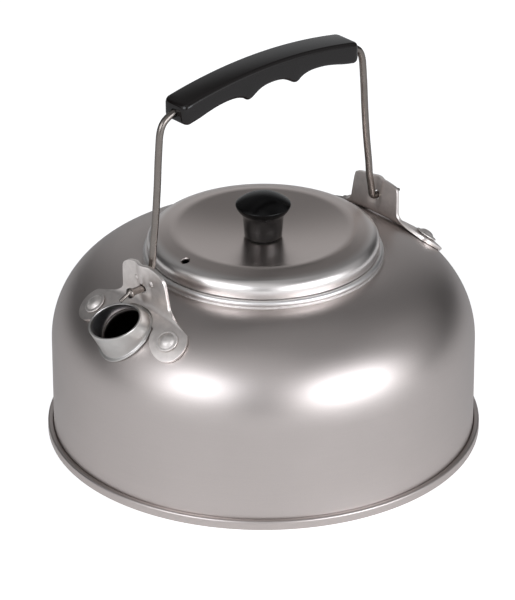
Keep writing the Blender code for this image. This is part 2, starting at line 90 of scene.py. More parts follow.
class Signal:
    """A number that varies over a surface: a node's output that takes part in Python sums."""

    def __init__(self, graph: "Graph", socket: bpy.types.NodeSocket) -> None:
        """Wraps an output socket of a graph."""
        self.graph = graph
        self.socket = socket

    def _math(self, operation: str, first: Fed, second: Fed = 0.0) -> "Signal":
        """Adds a Math node for one operation and returns its result."""
        made = self.graph.node("ShaderNodeMath", {"operation": operation}, {0: first, 1: second})
        return Signal(self.graph, made.outputs[0])

    def __add__(self, other: Fed) -> "Signal":
        """Sum."""
        return self._math("ADD", self, other)

    __radd__ = __add__

    def __sub__(self, other: Fed) -> "Signal":
        """Difference."""
        return self._math("SUBTRACT", self, other)

    def __rsub__(self, other: Fed) -> "Signal":
        """Difference, with this signal taken away."""
        return self._math("SUBTRACT", other, self)

    def __mul__(self, other: Fed) -> "Signal":
        """Product."""
        return self._math("MULTIPLY", self, other)

    __rmul__ = __mul__

    def __truediv__(self, other: Fed) -> "Signal":
        """Quotient."""
        return self._math("DIVIDE", self, other)

    def __rtruediv__(self, other: Fed) -> "Signal":
        """Quotient, with this signal as the divisor."""
        return self._math("DIVIDE", other, self)

    def __pow__(self, other: Fed) -> "Signal":
        """Power."""
        return self._math("POWER", self, other)

    def ease(self, low: float, high: float) -> "Signal":
        """A smooth step from 0 at low to 1 at high."""
        made = self.graph.node(
            "ShaderNodeMapRange",
            {"interpolation_type": "SMOOTHSTEP"},
            {"Value": self, "From Min": low, "From Max": high},
        )
        return Signal(self.graph, made.outputs[0])


class Graph:
    """A node graph that is built by calls: a material's, or the world's."""

    def __init__(self, tree: bpy.types.NodeTree) -> None:
        """Starts on an empty or default node tree."""
        self.tree = tree

    def feed(self, socket: bpy.types.NodeSocket, value: Fed) -> None:
        """Feeds an input.

        Args:
            socket: The input.
            value: A signal or socket, which is linked to it, or a plain value, which is set.
        """
        source = value.socket if isinstance(value, Signal) else value
        if isinstance(source, bpy.types.NodeSocket):
            self.tree.links.new(source, socket)
        else:
            socket.default_value = source

    def node(
        self, kind: str, settings: dict | None = None, inputs: dict | None = None
    ) -> bpy.types.Node:
        """Adds a node.

        Args:
            kind: The node's type.
            settings: Its settings, which are set first.
            inputs: Values or links for its sockets, by name or number.

        Returns:
            The new node.
        """
        made = self.tree.nodes.new(kind)
        for key, value in (settings or {}).items():
            setattr(made, key, value)
        for key, value in (inputs or {}).items():
            self.feed(made.inputs[key], value)
        return made

    def split(self, vector: bpy.types.NodeSocket) -> tuple[Signal, Signal, Signal]:
        """The three parts of a vector."""
        parts = self.node("ShaderNodeSeparateXYZ", None, {0: vector}).outputs
        return Signal(self, parts[0]), Signal(self, parts[1]), Signal(self, parts[2])

    def join(self, x: Fed, y: Fed, z: Fed) -> bpy.types.NodeSocket:
        """A vector from its three parts."""
        return self.node("ShaderNodeCombineXYZ", None, {0: x, 1: y, 2: z}).outputs[0]


class Paint(Graph):
    """The node graph of one material round a Principled shader."""

    def __init__(self, name: str, **constants: float) -> None:
        """Makes the material.

        Args:
            name: The material's name.
            constants: Values for the shader's own sockets, with _ for a space.
        """
        self.material = bpy.data.materials.new(name)
        self.material.use_nodes = True
        super().__init__(self.material.node_tree)
        self.shader = self.tree.nodes["Principled BSDF"]
        for key, value in constants.items():
            self.feed(self.shader.inputs[key.replace("_", " ")], value)

    def place(self) -> bpy.types.NodeSocket:
        """The point's place on the piece, in metres."""
        return self.node("ShaderNodeTexCoord").outputs["Object"]

    def noise(
        self, vector: bpy.types.NodeSocket, size: float, detail: float = 2.0, w: Fed = 0.0
    ) -> Signal:
        """Soft noise round 0.5.

        Args:
            vector: Where it is read.
            size: How large its lumps are, in the vector's units.
            detail: How many finer layers it has.
            w: A fourth coordinate.

        Returns:
            The noise.
        """
        inputs = {"Vector": vector, "W": w, "Scale": 1.0 / size, "Detail": detail}
        made = self.node("ShaderNodeTexNoise", {"noise_dimensions": "4D"}, inputs)
        return Signal(self, made.outputs[0])

    def attribute(self, name: str) -> Signal:
        """A number stored on the mesh."""
        made = self.node("ShaderNodeAttribute", {"attribute_name": name})
        return Signal(self, made.outputs["Fac"])

    def between(self, share: Signal, first: Fed, second: Colour) -> bpy.types.NodeSocket:
        """A colour mixed from two.

        Args:
            share: How much there is of the second, from 0 to 1.
            first: The first colour, or the output of another mix.
            second: The second colour.

        Returns:
            The mixed colour.
        """
        settings = {"data_type": "RGBA", "clamp_factor": True}
        start = first if isinstance(first, bpy.types.NodeSocket) else (*first, 1.0)
        inputs = {0: share, 6: start, 7: (*second, 1.0)}
        return self.node("ShaderNodeMix", settings, inputs).outputs[2]

    def mottled(self, tone: Signal, tint: Colour, low: float, high: float) -> bpy.types.NodeSocket:
        """A tint that a tone from 0 to 1 makes darker or lighter, by a factor for each end."""
        darker, lighter = (tuple(part * factor for part in tint) for factor in (low, high))
        return self.between(tone, darker, lighter)

    def finish(self, colour: Fed, roughness: Fed, height: Signal, depth: float) -> bpy.types.Material:
        """Feeds the shader.

        Args:
            colour: The base colour.
            roughness: The roughness.
            height: The relief, from 0 to 1.
            depth: How deep that relief is, in millimetres.

        Returns:
            The finished material.
        """
        relief = self.node("ShaderNodeBump", None, {"Distance": depth * MM, "Height": height})
        self.feed(self.shader.inputs["Base Color"], colour)
        self.feed(self.shader.inputs["Roughness"], roughness)
        self.feed(self.shader.inputs["Normal"], relief.outputs[0])
        return self.material


@dataclass(frozen=True)
class Finish:
    """What a piece's surface is made of: the base of the kettle's finishes."""

    name: str

    def material(self) -> bpy.types.Material:
        """Makes the material; each finish does it in its own way."""
        raise NotImplementedError


@dataclass(frozen=True)
class SatinAluminium(Finish):
    """Turned and matt-blasted aluminium: fine grain over faint rings round the kettle's axis."""

    tint: Colour = (0.58, 0.525, 0.503)
    roughness: float = 0.38
    grain_size: float = 0.45
    cloud_size: float = 26.0
    ring_size: float = 0.35
    ring_wander: float = 2.0
    depth: float = 0.012
    # painted sheen: between these radii the tint turns to the pale one, for a brighter reflection
    painted_sheen_radii: Point = (300.0, 400.0)
    painted_sheen_tint: Colour = (0.95, 0.925, 0.91)

    def material(self) -> bpy.types.Material:
        """Makes the material; from one radius to another it grows paler, a painted sheen of brighter
        reflection.
        """
        paint = Paint(self.name, Metallic=1.0)
        place = paint.place()
        x, y, z = paint.split(place)
        radius = (x * x + y * y) ** 0.5 + 1e-5
        wander = self.ring_wander * MM
        spread = paint.join(radius, z, x / radius * wander)
        rings = paint.noise(spread, self.ring_size * MM, 1.0, y / radius * wander)
        grain = paint.noise(place, self.grain_size * MM, 3.0)
        cloud = paint.noise(place, self.cloud_size * MM, 2.0)
        tone = 0.5 + (grain - 0.5) * 0.7 + (cloud - 0.5) * 0.5 + (rings - 0.5) * 0.3
        plain = paint.mottled(tone, self.tint, 0.93, 1.07)
        # painted sheen: from one radius to the other the metal grows to the pale tint
        share = radius.ease(self.painted_sheen_radii[0] * MM, self.painted_sheen_radii[1] * MM)
        colour = paint.between(share, plain, self.painted_sheen_tint)
        roughness = self.roughness + (grain - 0.5) * 0.06 + (cloud - 0.5) * 0.05
        return paint.finish(colour, roughness, grain * 0.75 + rings * 0.25, self.depth)


@dataclass(frozen=True)
class ScuffedSheet(Finish):
    """Pressed aluminium that the tools and the tumbling drum have smudged, bright at its edges."""

    tint: Colour = (0.58, 0.56, 0.54)
    roughness: float = 0.36
    smudge_size: float = 3.2
    depth: float = 0.02
    # painted shade: the dark tint that stands for the shade inside hollows, such as the spout's bore
    painted_shade_tint: Colour = (0.42, 0.42, 0.43)
    grain_size: float = 0.4
    scratch_size: float = 0.5

    def material(self) -> bpy.types.Material:
        """Makes the material: paler where the mesh's "wear" is set, and dark with painted shade where
        its shade attribute is set.
        """
        paint = Paint(self.name, Metallic=1.0)
        place = paint.place()
        x, y, z = paint.split(place)
        smudge = paint.noise(place, self.smudge_size * MM, 3.0)
        grain = paint.noise(place, self.grain_size * MM, 2.0)
        drawn_out = paint.join(x * 9.0, y + x * 0.6, z * 6.0)
        scratch = paint.noise(drawn_out, self.scratch_size * MM, 1.0).ease(0.62, 0.78)
        wear = paint.attribute("wear")
        tone = 0.45 + (smudge - 0.5) * 1.1 + (grain - 0.5) * 0.35 + wear * 0.35 + scratch * 0.12
        clean = paint.mottled(tone, self.tint, 0.88, 1.14)
        # painted shade: the colour turns to the dark tint where the mesh marks shade
        colour = paint.between(paint.attribute("painted_shade"), clean, self.painted_shade_tint)
        roughness = self.roughness + (smudge - 0.5) * 0.16 - wear * 0.08 - scratch * 0.05
        return paint.finish(colour, roughness, grain * 0.3 + smudge * 0.7 - scratch * 0.15, self.depth)


@dataclass(frozen=True)
class DrawnWire(Finish):
    """Hard-drawn steel wire with the fine lines of the die along it."""

    tint: Colour = (0.25, 0.222, 0.202)
    roughness: float = 0.26
    line_size: float = 0.12
    line_stretch: float = 50.0
    patch_size: float = 4.0
    depth: float = 0.012

    def material(self) -> bpy.types.Material:
        """Makes the material, from the mesh's "along" and "around"."""
        paint = Paint(self.name, Metallic=1.0)
        along, around = paint.attribute("along"), paint.attribute("around")
        drawn_out = paint.join(around, along * (1.0 / self.line_stretch), 0.0)
        lines = paint.noise(drawn_out, self.line_size, 2.0)
        patches = paint.noise(paint.join(around, along, 0.0), self.patch_size, 2.0)
        tone = 0.5 + (lines - 0.5) * 0.6 + (patches - 0.5) * 0.9
        colour = paint.mottled(tone, self.tint, 0.85, 1.15)
        roughness = self.roughness + (patches - 0.5) * 0.14 + (lines - 0.5) * 0.06
        return paint.finish(colour, roughness, lines, self.depth)


@dataclass(frozen=True)
class GlossBlack(Finish):
    """Moulded black thermoset with a polished skin and a few matt specks."""

    tint: Colour = (0.0085, 0.0068, 0.0064)
    roughness: float = 0.14
    mirror: float = 0.36
    polished_below: float = 0.0
    wave_size: float = 5.0
    fine_size: float = 0.5
    speck_size: float = 1.1
    depth: float = 0.03

    def material(self) -> bpy.types.Material:
        """Makes the material, with a polished skin up to a height if one is given."""
        paint = Paint(self.name, Metallic=0.0, Specular_IOR_Level=self.mirror, Coat_Roughness=0.05)
        place = paint.place()
        if self.polished_below:
            height, fade = paint.split(place)[2], 1.0
            start, end = self.polished_below - fade, self.polished_below + fade
            paint.feed(paint.shader.inputs["Coat Weight"], 1.0 - height.ease(start * MM, end * MM))
        waves = paint.noise(place, self.wave_size * MM, 1.0)
        fine = paint.noise(place, self.fine_size * MM, 2.0)
        specks = paint.noise(place, self.speck_size * MM, 1.0).ease(0.66, 0.8)
        colour = paint.mottled(fine * 0.6 + specks * 0.4, self.tint, 0.85, 1.5)
        roughness = self.roughness + (fine - 0.5) * 0.05 + specks * 0.08
        return paint.finish(colour, roughness, waves * 0.8 + fine * 0.2, self.depth)


@dataclass(frozen=True)
class PlatedSteel(Finish):
    """Zinc-plated steel of the screw and washer, slightly cloudy."""

    tint: Colour = (0.6, 0.59, 0.57)
    roughness: float = 0.34
    cloud_size: float = 1.6
    grain_size: float = 0.25
    depth: float = 0.008

    def material(self) -> bpy.types.Material:
        """Makes the material."""
        paint = Paint(self.name, Metallic=1.0)
        place = paint.place()
        cloud = paint.noise(place, self.cloud_size * MM, 3.0)
        grain = paint.noise(place, self.grain_size * MM, 2.0)
        colour = paint.mottled(cloud, self.tint, 0.82, 1.12)
        roughness = self.roughness + (cloud - 0.5) * 0.2
        return paint.finish(colour, roughness, grain, self.depth)


def smooth_line(points: Sequence[Vector], per_span: int) -> list[Vector]:
    """A smooth line through given points.

    Args:
        points: The points, two or more.
        per_span: How many steps it takes from one point to the next.

    Returns:
        The points of the line, the given ones among them.
    """
    padded = [points[0] * 2 - points[1], *points, points[-1] * 2 - points[-2]]
    line = [points[0].copy()]
    for before, start, end, after in zip(padded, padded[1:], padded[2:], padded[3:]):
        for i in range(1, per_span + 1):
            t = i / per_span
            slope = (end - before) * t
            bow = (before * 2 - start * 5 + end * 4 - after) * t**2
            twist = (start * 3 - before - end * 3 + after) * t**3
            line.append((start * 2 + slope + bow + twist) * 0.5)
    return line


class Outline:
    """A wire drawn in the plane of radius and height, then turned about the upright axis."""

    def __init__(self, r: float, z: float) -> None:
        """Starts the wire at a radius and height."""
        self.bm = bmesh.new()
        self.first = self.tip = self.bm.verts.new((r, 0.0, z))

    def line(self, *points: Point) -> "Outline":
        """Runs straight on.

        Args:
            points: The radius and height of each point that it passes.

        Returns:
            The outline itself.
        """
        for r, z in points:
            self.tip = bmesh.ops.extrude_vert_indiv(self.bm, verts=[self.tip])["verts"][0]
            self.tip.co = (r, 0.0, z)
        return self

    def arc(self, centre: Point, degrees: float, steps: int) -> "Outline":
        """Runs on round a centre.

        Args:
            centre: Radius and height of the centre.
            degrees: How far it turns, positive from the radius towards the height.
            steps: How many edges the arc has.

        Returns:
            The outline itself.
        """
        made = bmesh.ops.spin(
            self.bm, geom=[self.tip], cent=(centre[0], 0.0, centre[1]), axis=(0.0, -1.0, 0.0),
            angle=math.radians(degrees), steps=steps, use_duplicate=False,
        )
        self.tip = next(part for part in made["geom_last"] if isinstance(part, bmesh.types.BMVert))
        return self

    def through(self, points: Sequence[Point], per_span: int = 4) -> "Outline":
        """Runs on along a smooth line through points of radius and height."""
        places = [self.tip.co.copy()] + [Vector((r, 0.0, z)) for r, z in points]
        return self.line(*((place.x, place.z) for place in smooth_line(places, per_span)[1:]))

    def close(self) -> "Outline":
        """Joins the wire's end to its start."""
        self.bm.edges.new((self.tip, self.first))
        return self

    def turn(self, steps: int) -> bmesh.types.BMesh:
        """Turns the wire once about the upright axis."""
        bmesh.ops.spin(
            self.bm, geom=[*self.bm.verts, *self.bm.edges], cent=(0.0, 0.0, 0.0), axis=UP,
            angle=2 * math.pi, steps=steps, use_merge=True, use_duplicate=False,
        )
        return weld(self.bm)


def weld(bm: bmesh.types.BMesh) -> bmesh.types.BMesh:
    """Merges doubled vertices and points all faces outwards.

    Args:
        bm: The shape, which is changed.

    Returns:
        The same shape.
    """
    bmesh.ops.remove_doubles(bm, verts=bm.verts, dist=WELD)
    bmesh.ops.recalc_face_normals(bm, faces=bm.faces)
    return bm


def as_piece(name: str, bm: bmesh.types.BMesh, sharp: float = 35.0) -> bpy.types.Object:
    """Turns a bmesh in millimetres into an object at the origin, in metres.

    Args:
        name: The object's name.
        bm: Its shape, which is freed.
        sharp: Edges that bend more than this many degrees are left unsmoothed.

    Returns:
        The object.
    """
    bmesh.ops.scale(bm, vec=(MM, MM, MM), verts=bm.verts)
    mesh = bpy.data.meshes.new(name)
    bm.to_mesh(mesh)
    bm.free()
    mesh.shade_smooth()
    mesh.set_sharp_from_angle(angle=math.radians(sharp))
    piece = bpy.data.objects.new(name, mesh)
    bpy.context.scene.collection.objects.link(piece)
    return piece


def settle(piece: bpy.types.Object, sharp: float = 35.0) -> None:
    """Makes a piece's modifiers final, and removes the cutters that they used.

    Args:
        piece: The piece.
        sharp: Edges that bend more than this many degrees are left unsmoothed.
    """
    cutters = [modifier.object for modifier in piece.modifiers if modifier.type == "BOOLEAN"]
    graph = bpy.context.evaluated_depsgraph_get()
    mesh = bpy.data.meshes.new_from_object(piece.evaluated_get(graph))
    piece.modifiers.clear()
    piece.data = mesh
    mesh.shade_smooth()
    mesh.set_sharp_from_angle(angle=math.radians(sharp))
    for cutter in cutters:
        bpy.data.objects.remove(cutter, do_unlink=True)


def cut(piece: bpy.types.Object, cutter: bmesh.types.BMesh) -> None:
    """Takes a shape out of a piece.

    Args:
        piece: The piece, which settle makes final later.
        cutter: The shape, in millimetres.
    """
    modifier = piece.modifiers.new("hole", "BOOLEAN")
    modifier.operation = "DIFFERENCE"
    modifier.solver = "EXACT"
    modifier.object = as_piece(f"{piece.name}_cutter", cutter)


def drill(
    radius: float, length: float, flare: float, at: Matrix, steps: int = 40
) -> bmesh.types.BMesh:
    """A hole's shape: a bore with its middle at a place, widened at its far end if asked.

    Args:
        radius: The bore's radius.
        length: How long it is.
        flare: How much wider it is at its far end.
        at: Its place, with the bore along Z.
        steps: How many sides it has.

    Returns:
        The shape, in millimetres.
    """
    half = length / 2
    outline = Outline(0.0, half).line((radius + flare, half), (radius + flare, half * 0.4))
    outline.line((radius, half * 0.4 - flare), (radius, -half), (0.0, -half))
    bm = outline.turn(steps)
    bmesh.ops.transform(bm, matrix=at, verts=bm.verts)
    return bm


def sweep(route: Sequence[tuple[Vector, float]], sides: int) -> bmesh.types.BMesh:
    """A round bar drawn along a route that lies in the bail's plane.

    Args:
        route: The places that it passes, with its radius at each.
        sides: How many sides the bar has.

    Returns:
        The closed bar; "along" on its vertices is the way from its start, "around" the angle.
    """
    frames = []
    for i, (place, radius) in enumerate(route):
        along = (route[min(i + 1, len(route) - 1)][0] - route[max(i - 1, 0)][0]).normalized()
        across = Vector((0.0, 1.0, 0.0))
        turn = Matrix((across, along.cross(across), along)).transposed().to_4x4()
        frames.append(Matrix.Translation(place) @ turn @ Matrix.Diagonal((radius, radius, 1.0, 1.0)))
    bm = bmesh.new()
    along_layer, around_layer = (bm.verts.layers.float.new(name) for name in ("along", "around"))
    rim = bmesh.ops.create_circle(bm, cap_ends=False, radius=1.0, segments=sides)["verts"]
    for vert in rim:
        vert[around_layer] = abs(math.atan2(vert.co.y, vert.co.x))
    bmesh.ops.transform(bm, matrix=frames[0], verts=rim)
    loop, length = list(bm.edges), 0.0
    for i in range(1, len(route)):
        length += (route[i][0] - route[i - 1][0]).length
        made = bmesh.ops.extrude_edge_only(bm, edges=loop)["geom"]
        rim = {part for part in made if isinstance(part, bmesh.types.BMVert)}
        edges = [part for part in made if isinstance(part, bmesh.types.BMEdge)]
        loop = [edge for edge in edges if rim.issuperset(edge.verts)]
        bmesh.ops.transform(bm, matrix=frames[i] @ frames[i - 1].inverted(), verts=list(rim))
        for vert in rim:
            vert[along_layer] = length
    bmesh.ops.holes_fill(bm, edges=bm.edges, sides=0)
    return weld(bm)


def add_ring(
    bm: bmesh.types.BMesh, sides: int, place: Callable[[Vector], Vector], turn: float = 0.0
) -> tuple[list[bmesh.types.BMVert], list[bmesh.types.BMEdge]]:
    """Adds a closed ring, one of those that a lofted shape is bridged over.

    Args:
        bm: The shape.
        sides: How many vertices the ring has.
        place: Where each of them goes, from its place on a unit circle.
        turn: How far that circle is turned first, in radians.

    Returns:
        The ring's vertices and its edges.
    """
    start = Matrix.Rotation(turn, 4, "Z")
    made = bmesh.ops.create_circle(bm, cap_ends=False, radius=1.0, segments=sides, matrix=start)
    for vert in made["verts"]:
        vert.co = place(vert.co.copy())
    return made["verts"], list({edge for vert in made["verts"] for edge in vert.link_edges})


def stand_on(place: Vector, normal: Vector) -> Matrix:
    """The frame whose origin is a place and whose Z is a direction."""
    return Matrix.Translation(place) @ normal.to_track_quat("Z", "Y").to_matrix().to_4x4()


def hand_over(piece: bpy.types.Object, node: str, body: Body, finish: Finish) -> None:
    """Dresses a piece and lets it stand for a construction solid.

    Args:
        piece: The finished piece.
        node: The solid's node.
        body: The body it moves with.
        finish: The finish that its surface has.
    """
    known = bpy.data.materials.get(finish.name)
    piece.data.materials.clear()
    piece.data.materials.append(known or finish.material())
    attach(piece, body.value)
    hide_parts(node)
    log.info("%s stands for %s on %s, %d faces", piece.name, node, body.value, len(piece.data.polygons))


@dataclass(frozen=True)
class Dome:
    """Outer face of the shell: an upright wall, a tight shoulder and a flatter crown."""

    wall_r: float = 88.0
    shoulder_arc: float = 36.2
    shoulder_z: float = 42.16
    shoulder_turn: float = 56.7
    crown_arc: float = 41.23
    crown_end_r: float = 49.9

    @property
    def shoulder_centre(self) -> Point:
        """Centre of the shoulder's arc."""
        return self.wall_r - self.shoulder_arc, self.shoulder_z

    @property
    def handover(self) -> Point:
        """Where the shoulder's arc meets the crown's."""
        turn = math.radians(self.shoulder_turn)
        r, z = self.shoulder_centre
        return r + self.shoulder_arc * math.cos(turn), z + self.shoulder_arc * math.sin(turn)

    @property
    def crown_centre(self) -> Point:
        """Centre of the crown's flatter arc."""
        turn = math.radians(self.shoulder_turn)
        r, z = self.handover
        return r - self.crown_arc * math.cos(turn), z - self.crown_arc * math.sin(turn)

    @property
    def crown_turn(self) -> float:
        """How many degrees the crown's arc turns, from its inner end to the shoulder."""
        r = self.crown_centre[0]
        return math.degrees(math.acos((self.crown_end_r - r) / self.crown_arc)) - self.shoulder_turn

    def height(self, r: float) -> float:
        """Height of the face.

        Args:
            r: The distance from the axis.

        Returns:
            The height there.
        """
        if r > self.handover[0]:
            inside = self.shoulder_arc**2 - (r - self.shoulder_centre[0]) ** 2
            return self.shoulder_z + math.sqrt(max(inside, 0.0))
        centre = self.crown_centre
        return centre[1] + math.sqrt(self.crown_arc**2 - (r - centre[0]) ** 2)

    def normal(self, x: float, y: float) -> Vector:
        """Outward direction of the face.

        Args:
            x: The point's x, seen from above.
            y: Its y.

        Returns:
            The direction there.
        """
        r = math.hypot(x, y)
        if r > self.handover[0]:
            lean = (r - self.shoulder_centre[0]) / self.shoulder_arc
        else:
            lean = (r - self.crown_centre[0]) / self.crown_arc
        return Vector((x / r * lean, y / r * lean, math.sqrt(1 - lean * lean)))

    def over(self, x: float, y: float, rise: float) -> Vector:
        """The point at a rise along the normal, above a plan point of the face."""
        return Vector((x, y, self.height(math.hypot(x, y)))) + self.normal(x, y) * rise


@dataclass
class Vessel:
    """The drawn shell and the base sheet that is folded over its flange."""

    dome: Dome = field(default_factory=Dome)
    sheet: float = 1.0
    neck_r: float = 46.7
    bead_tube: float = 1.5
    bead_z: float = 80.7
    flange_r: float = 89.0
    flange_bottom: float = 1.5
    flange_top: float = 2.7
    spout_hole_r: float = 10.2
    spout_hole_x: float = -75.1
    spout_hole_z: float = 69.5
    spout_hole_tilt: float = 47.5
    rim_r: float = 90.5
    rim_top: float = 4.2
    plate: float = 1.2
    rest_r: float = 72.0
    recess: float = 0.8
    lip_round: float = 0.35
    fold_round: float = 0.95
    heel_round: float = 0.9
    steps: int = 180
    # painted sheen: the body's tint grows pale inside the bead's radius
    finish: Finish = SatinAluminium("satin_body", painted_sheen_radii=(50.3, 49.2))
    base_finish: Finish = SatinAluminium("satin_base")

    def shell_outline(self) -> Outline:
        """The shell's section: bead, crown, shoulder and wall outside, and back up inside.

        Returns:
            The closed section.
        """
        dome, bead_r = self.dome, self.neck_r + self.bead_tube
        outline = Outline(self.neck_r, self.bead_z).arc((bead_r, self.bead_z), -225.0, 16)
        inner_wall = dome.wall_r - self.sheet
        outline.line((dome.crown_end_r - 0.75, dome.height(dome.crown_end_r) - 0.25))
        outline.line((dome.crown_end_r, dome.height(dome.crown_end_r)))
        outline.arc(dome.crown_centre, -dome.crown_turn, 14)
        outline.arc(dome.shoulder_centre, -dome.shoulder_turn, 22)
        outline.line((dome.wall_r, 30.0), (dome.wall_r, 18.0), (dome.wall_r, self.flange_top + 1.0))
        outline.arc((dome.wall_r + 1.0, self.flange_top + 1.0), 90.0, 3)
        outline.line((self.flange_r + 0.05, self.flange_top), (self.flange_r, self.flange_bottom))
        outline.line((inner_wall + 0.4, self.flange_bottom), (inner_wall, self.flange_bottom + 0.4))
        outline.line((inner_wall, 18.0), (inner_wall, dome.shoulder_z))
        outline.arc(dome.shoulder_centre, dome.shoulder_turn, 16)
        outline.arc(dome.crown_centre, dome.crown_turn, 10)
        inside = outline.tip.co.z - 0.1
        return outline.line((self.neck_r + 0.5, inside), (self.neck_r, inside + 0.5)).close()

    def shell(self, rivets: "Rivets") -> bpy.types.Object:
        """The shell, with the hole into the spout and the rivets' holes.

        Args:
            rivets: The rivets that go through it.

        Returns:
            The piece.
        """
        shell = as_piece("kettle_shell", self.shell_outline().turn(self.steps))
        tilt = math.radians(self.spout_hole_tilt)
        out = Vector((-math.cos(tilt), 0.0, math.sin(tilt)))
        place = Vector((self.spout_hole_x, 0.0, self.spout_hole_z))
        cut(shell, drill(self.spout_hole_r, 14.0, 0.0, stand_on(place, out), 72))
        for side in Side:
            for hand in Hand:
                cut(shell, drill(rivets.hole_r, 9.0, 0.0, rivets.seat(side, hand)))
        settle(shell)
        return shell

    def base(self) -> bpy.types.Object:
        """The base sheet: recessed centre, flat resting ring and folded rim.

        Returns:
            The piece.
        """
        fold_r, lip_r = self.flange_r + GAP, self.dome.wall_r + GAP
        over_flange, top = self.flange_top + GAP, self.rim_top
        plate_top = self.recess + self.plate
        lip, fold, heel = self.lip_round, self.fold_round, self.heel_round
        outline = Outline(lip_r + lip, top).line((self.rim_r - fold, top))
        outline.arc((self.rim_r - fold, top - fold), -90.0, 6)
        outline.line((self.rim_r, heel)).arc((self.rim_r - heel, heel), -90.0, 6)
        outline.line((self.rest_r + 0.6, 0.0))
        step = [(self.rest_r - 0.1, 0.15), (self.rest_r - 1.0, 0.65), (self.rest_r - 1.8, self.recess)]
        outline.through(step)
        outline.line((40.0, self.recess), (0.0, self.recess), (0.0, plate_top), (40.0, plate_top))
        outline.line((self.rest_r - 1.3, plate_top), (self.rest_r + 0.9, self.plate))
        outline.line((fold_r, self.plate), (fold_r, over_flange), (lip_r + 0.2, over_flange))
        outline.line((lip_r, over_flange + 0.2), (lip_r, top - lip))
        outline.arc((lip_r + lip, top - lip), -90.0, 4)
        return as_piece("base_sheet", outline.turn(self.steps))

    def build(self, rivets: "Rivets") -> None:
        """Makes and dresses both pieces."""
        hand_over(self.shell(rivets), "kettle_body", Body.KETTLE, self.finish)
        hand_over(self.base(), "base_plate", Body.KETTLE, self.base_finish)


@dataclass
class Spout:
    """Short funnel spout, a loft from its foot on the dome to a tilted round mouth."""

    dome: Dome = field(default_factory=Dome)
    foot_x: float = -74.25
    foot_rx: float = 9.35
    foot_ry: float = 12.7
    mouth: Vector = field(default_factory=lambda: Vector((-80.0, 0.0, 75.8)))
    mouth_r: float = 11.0
    mouth_tilt: float = 70.6
    sheet: float = 0.9
    bore_rings: int = 6
    steps: int = 96
    finish: Finish = ScuffedSheet("spun_spout", (0.6, 0.58, 0.56), smudge_size=4.5, depth=0.015)

    def foot(self, radius: float, rise: float) -> Callable[[float], Vector]:
        """A ring that follows the dome.

        Args:
            radius: Half its width across the kettle.
            rise: How far it lies above the dome.

        Returns:
            Its points, as a function of the angle.
        """
        share = radius / self.foot_ry

        def point(angle: float) -> Vector:
            """A point of the ring."""
            x = self.foot_x + self.foot_rx * share * math.cos(angle)
            return self.dome.over(x, self.foot_ry * share * math.sin(angle), rise)

        return point

    def lip(self, radius: float, rise: float) -> Callable[[float], Vector]:
        """A flat ring at the mouth.

        Args:
            radius: Its radius.
            rise: How far out it lies, along the spout.

        Returns:
            Its points, as a function of the angle.
        """
        tilt = math.radians(self.mouth_tilt)
        out = Vector((-math.cos(tilt), 0.0, math.sin(tilt)))
        side = Vector((0.0, 1.0, 0.0))
        forward = side.cross(out)

        def point(angle: float) -> Vector:
            """A point of the ring."""
            flat = forward * math.cos(angle) + side * math.sin(angle)
            return self.mouth + flat * radius + out * rise

        return point

    def rings(self) -> list[Callable[[float], Vector]]:
        """The rings from the foot's outer edge over the mouth and back down inside.

        Returns:
            The points of each, as a function of the angle.
        """

        def between(low: Callable, high: Callable, share: float) -> Callable[[float], Vector]:
            """A ring part of the way from one to another."""
            return lambda angle: low(angle).lerp(high(angle), share)

        waist, outer = self.foot(11.75, 1.55), self.lip(self.mouth_r, -0.45)
        inner, inner_foot = self.lip(self.mouth_r - self.sheet, -0.45), self.foot(10.9, GAP)
        middle = self.mouth_r - self.sheet / 2
        foot = [self.foot(r, rise) for r, rise in (
            (12.2, 0.3), (12.65, 0.32), (12.88, 0.5), (12.9, 0.8), (12.75, 1.05), (12.4, 1.15),
            (12.1, 1.1), (11.9, 1.2),
        )]
        wall = [between(waist, outer, share / 6) for share in range(7)]
        rolled = [self.lip(middle + r, rise) for r, rise in (
            (0.42, -0.15), (0.3, 0.06), (0.0, 0.15), (-0.3, 0.06), (-0.42, -0.15),
        )]
        last = self.bore_rings - 1
        bore = [between(inner, inner_foot, share / last) for share in range(self.bore_rings)]
        return [*foot, *wall, *rolled, *bore]

    def build(self) -> None:
        """Makes and dresses the spout."""
        bm = bmesh.new()
        painted_shade = bm.verts.layers.float.new("painted_shade")
        rings, loops = self.rings(), []
        # painted shade: the rings inside the spout's bore are marked to be coloured dark, for the shade
        # within it
        inside = range(len(rings) - self.bore_rings + 1, len(rings) - 1)
        for i, ring in enumerate(rings):
            verts, loop = add_ring(bm, self.steps, lambda unit: ring(math.atan2(unit.y, unit.x)))
            for vert in verts:
                vert[painted_shade] = float(i in inside)
            loops.append(loop)
        for low, high in zip(loops, loops[1:] + loops[:1]):
            bmesh.ops.bridge_loops(bm, edges=low + high)
        spout = as_piece("funnel_spout", weld(bm))
        hand_over(spout, "spout", Body.KETTLE, self.finish)


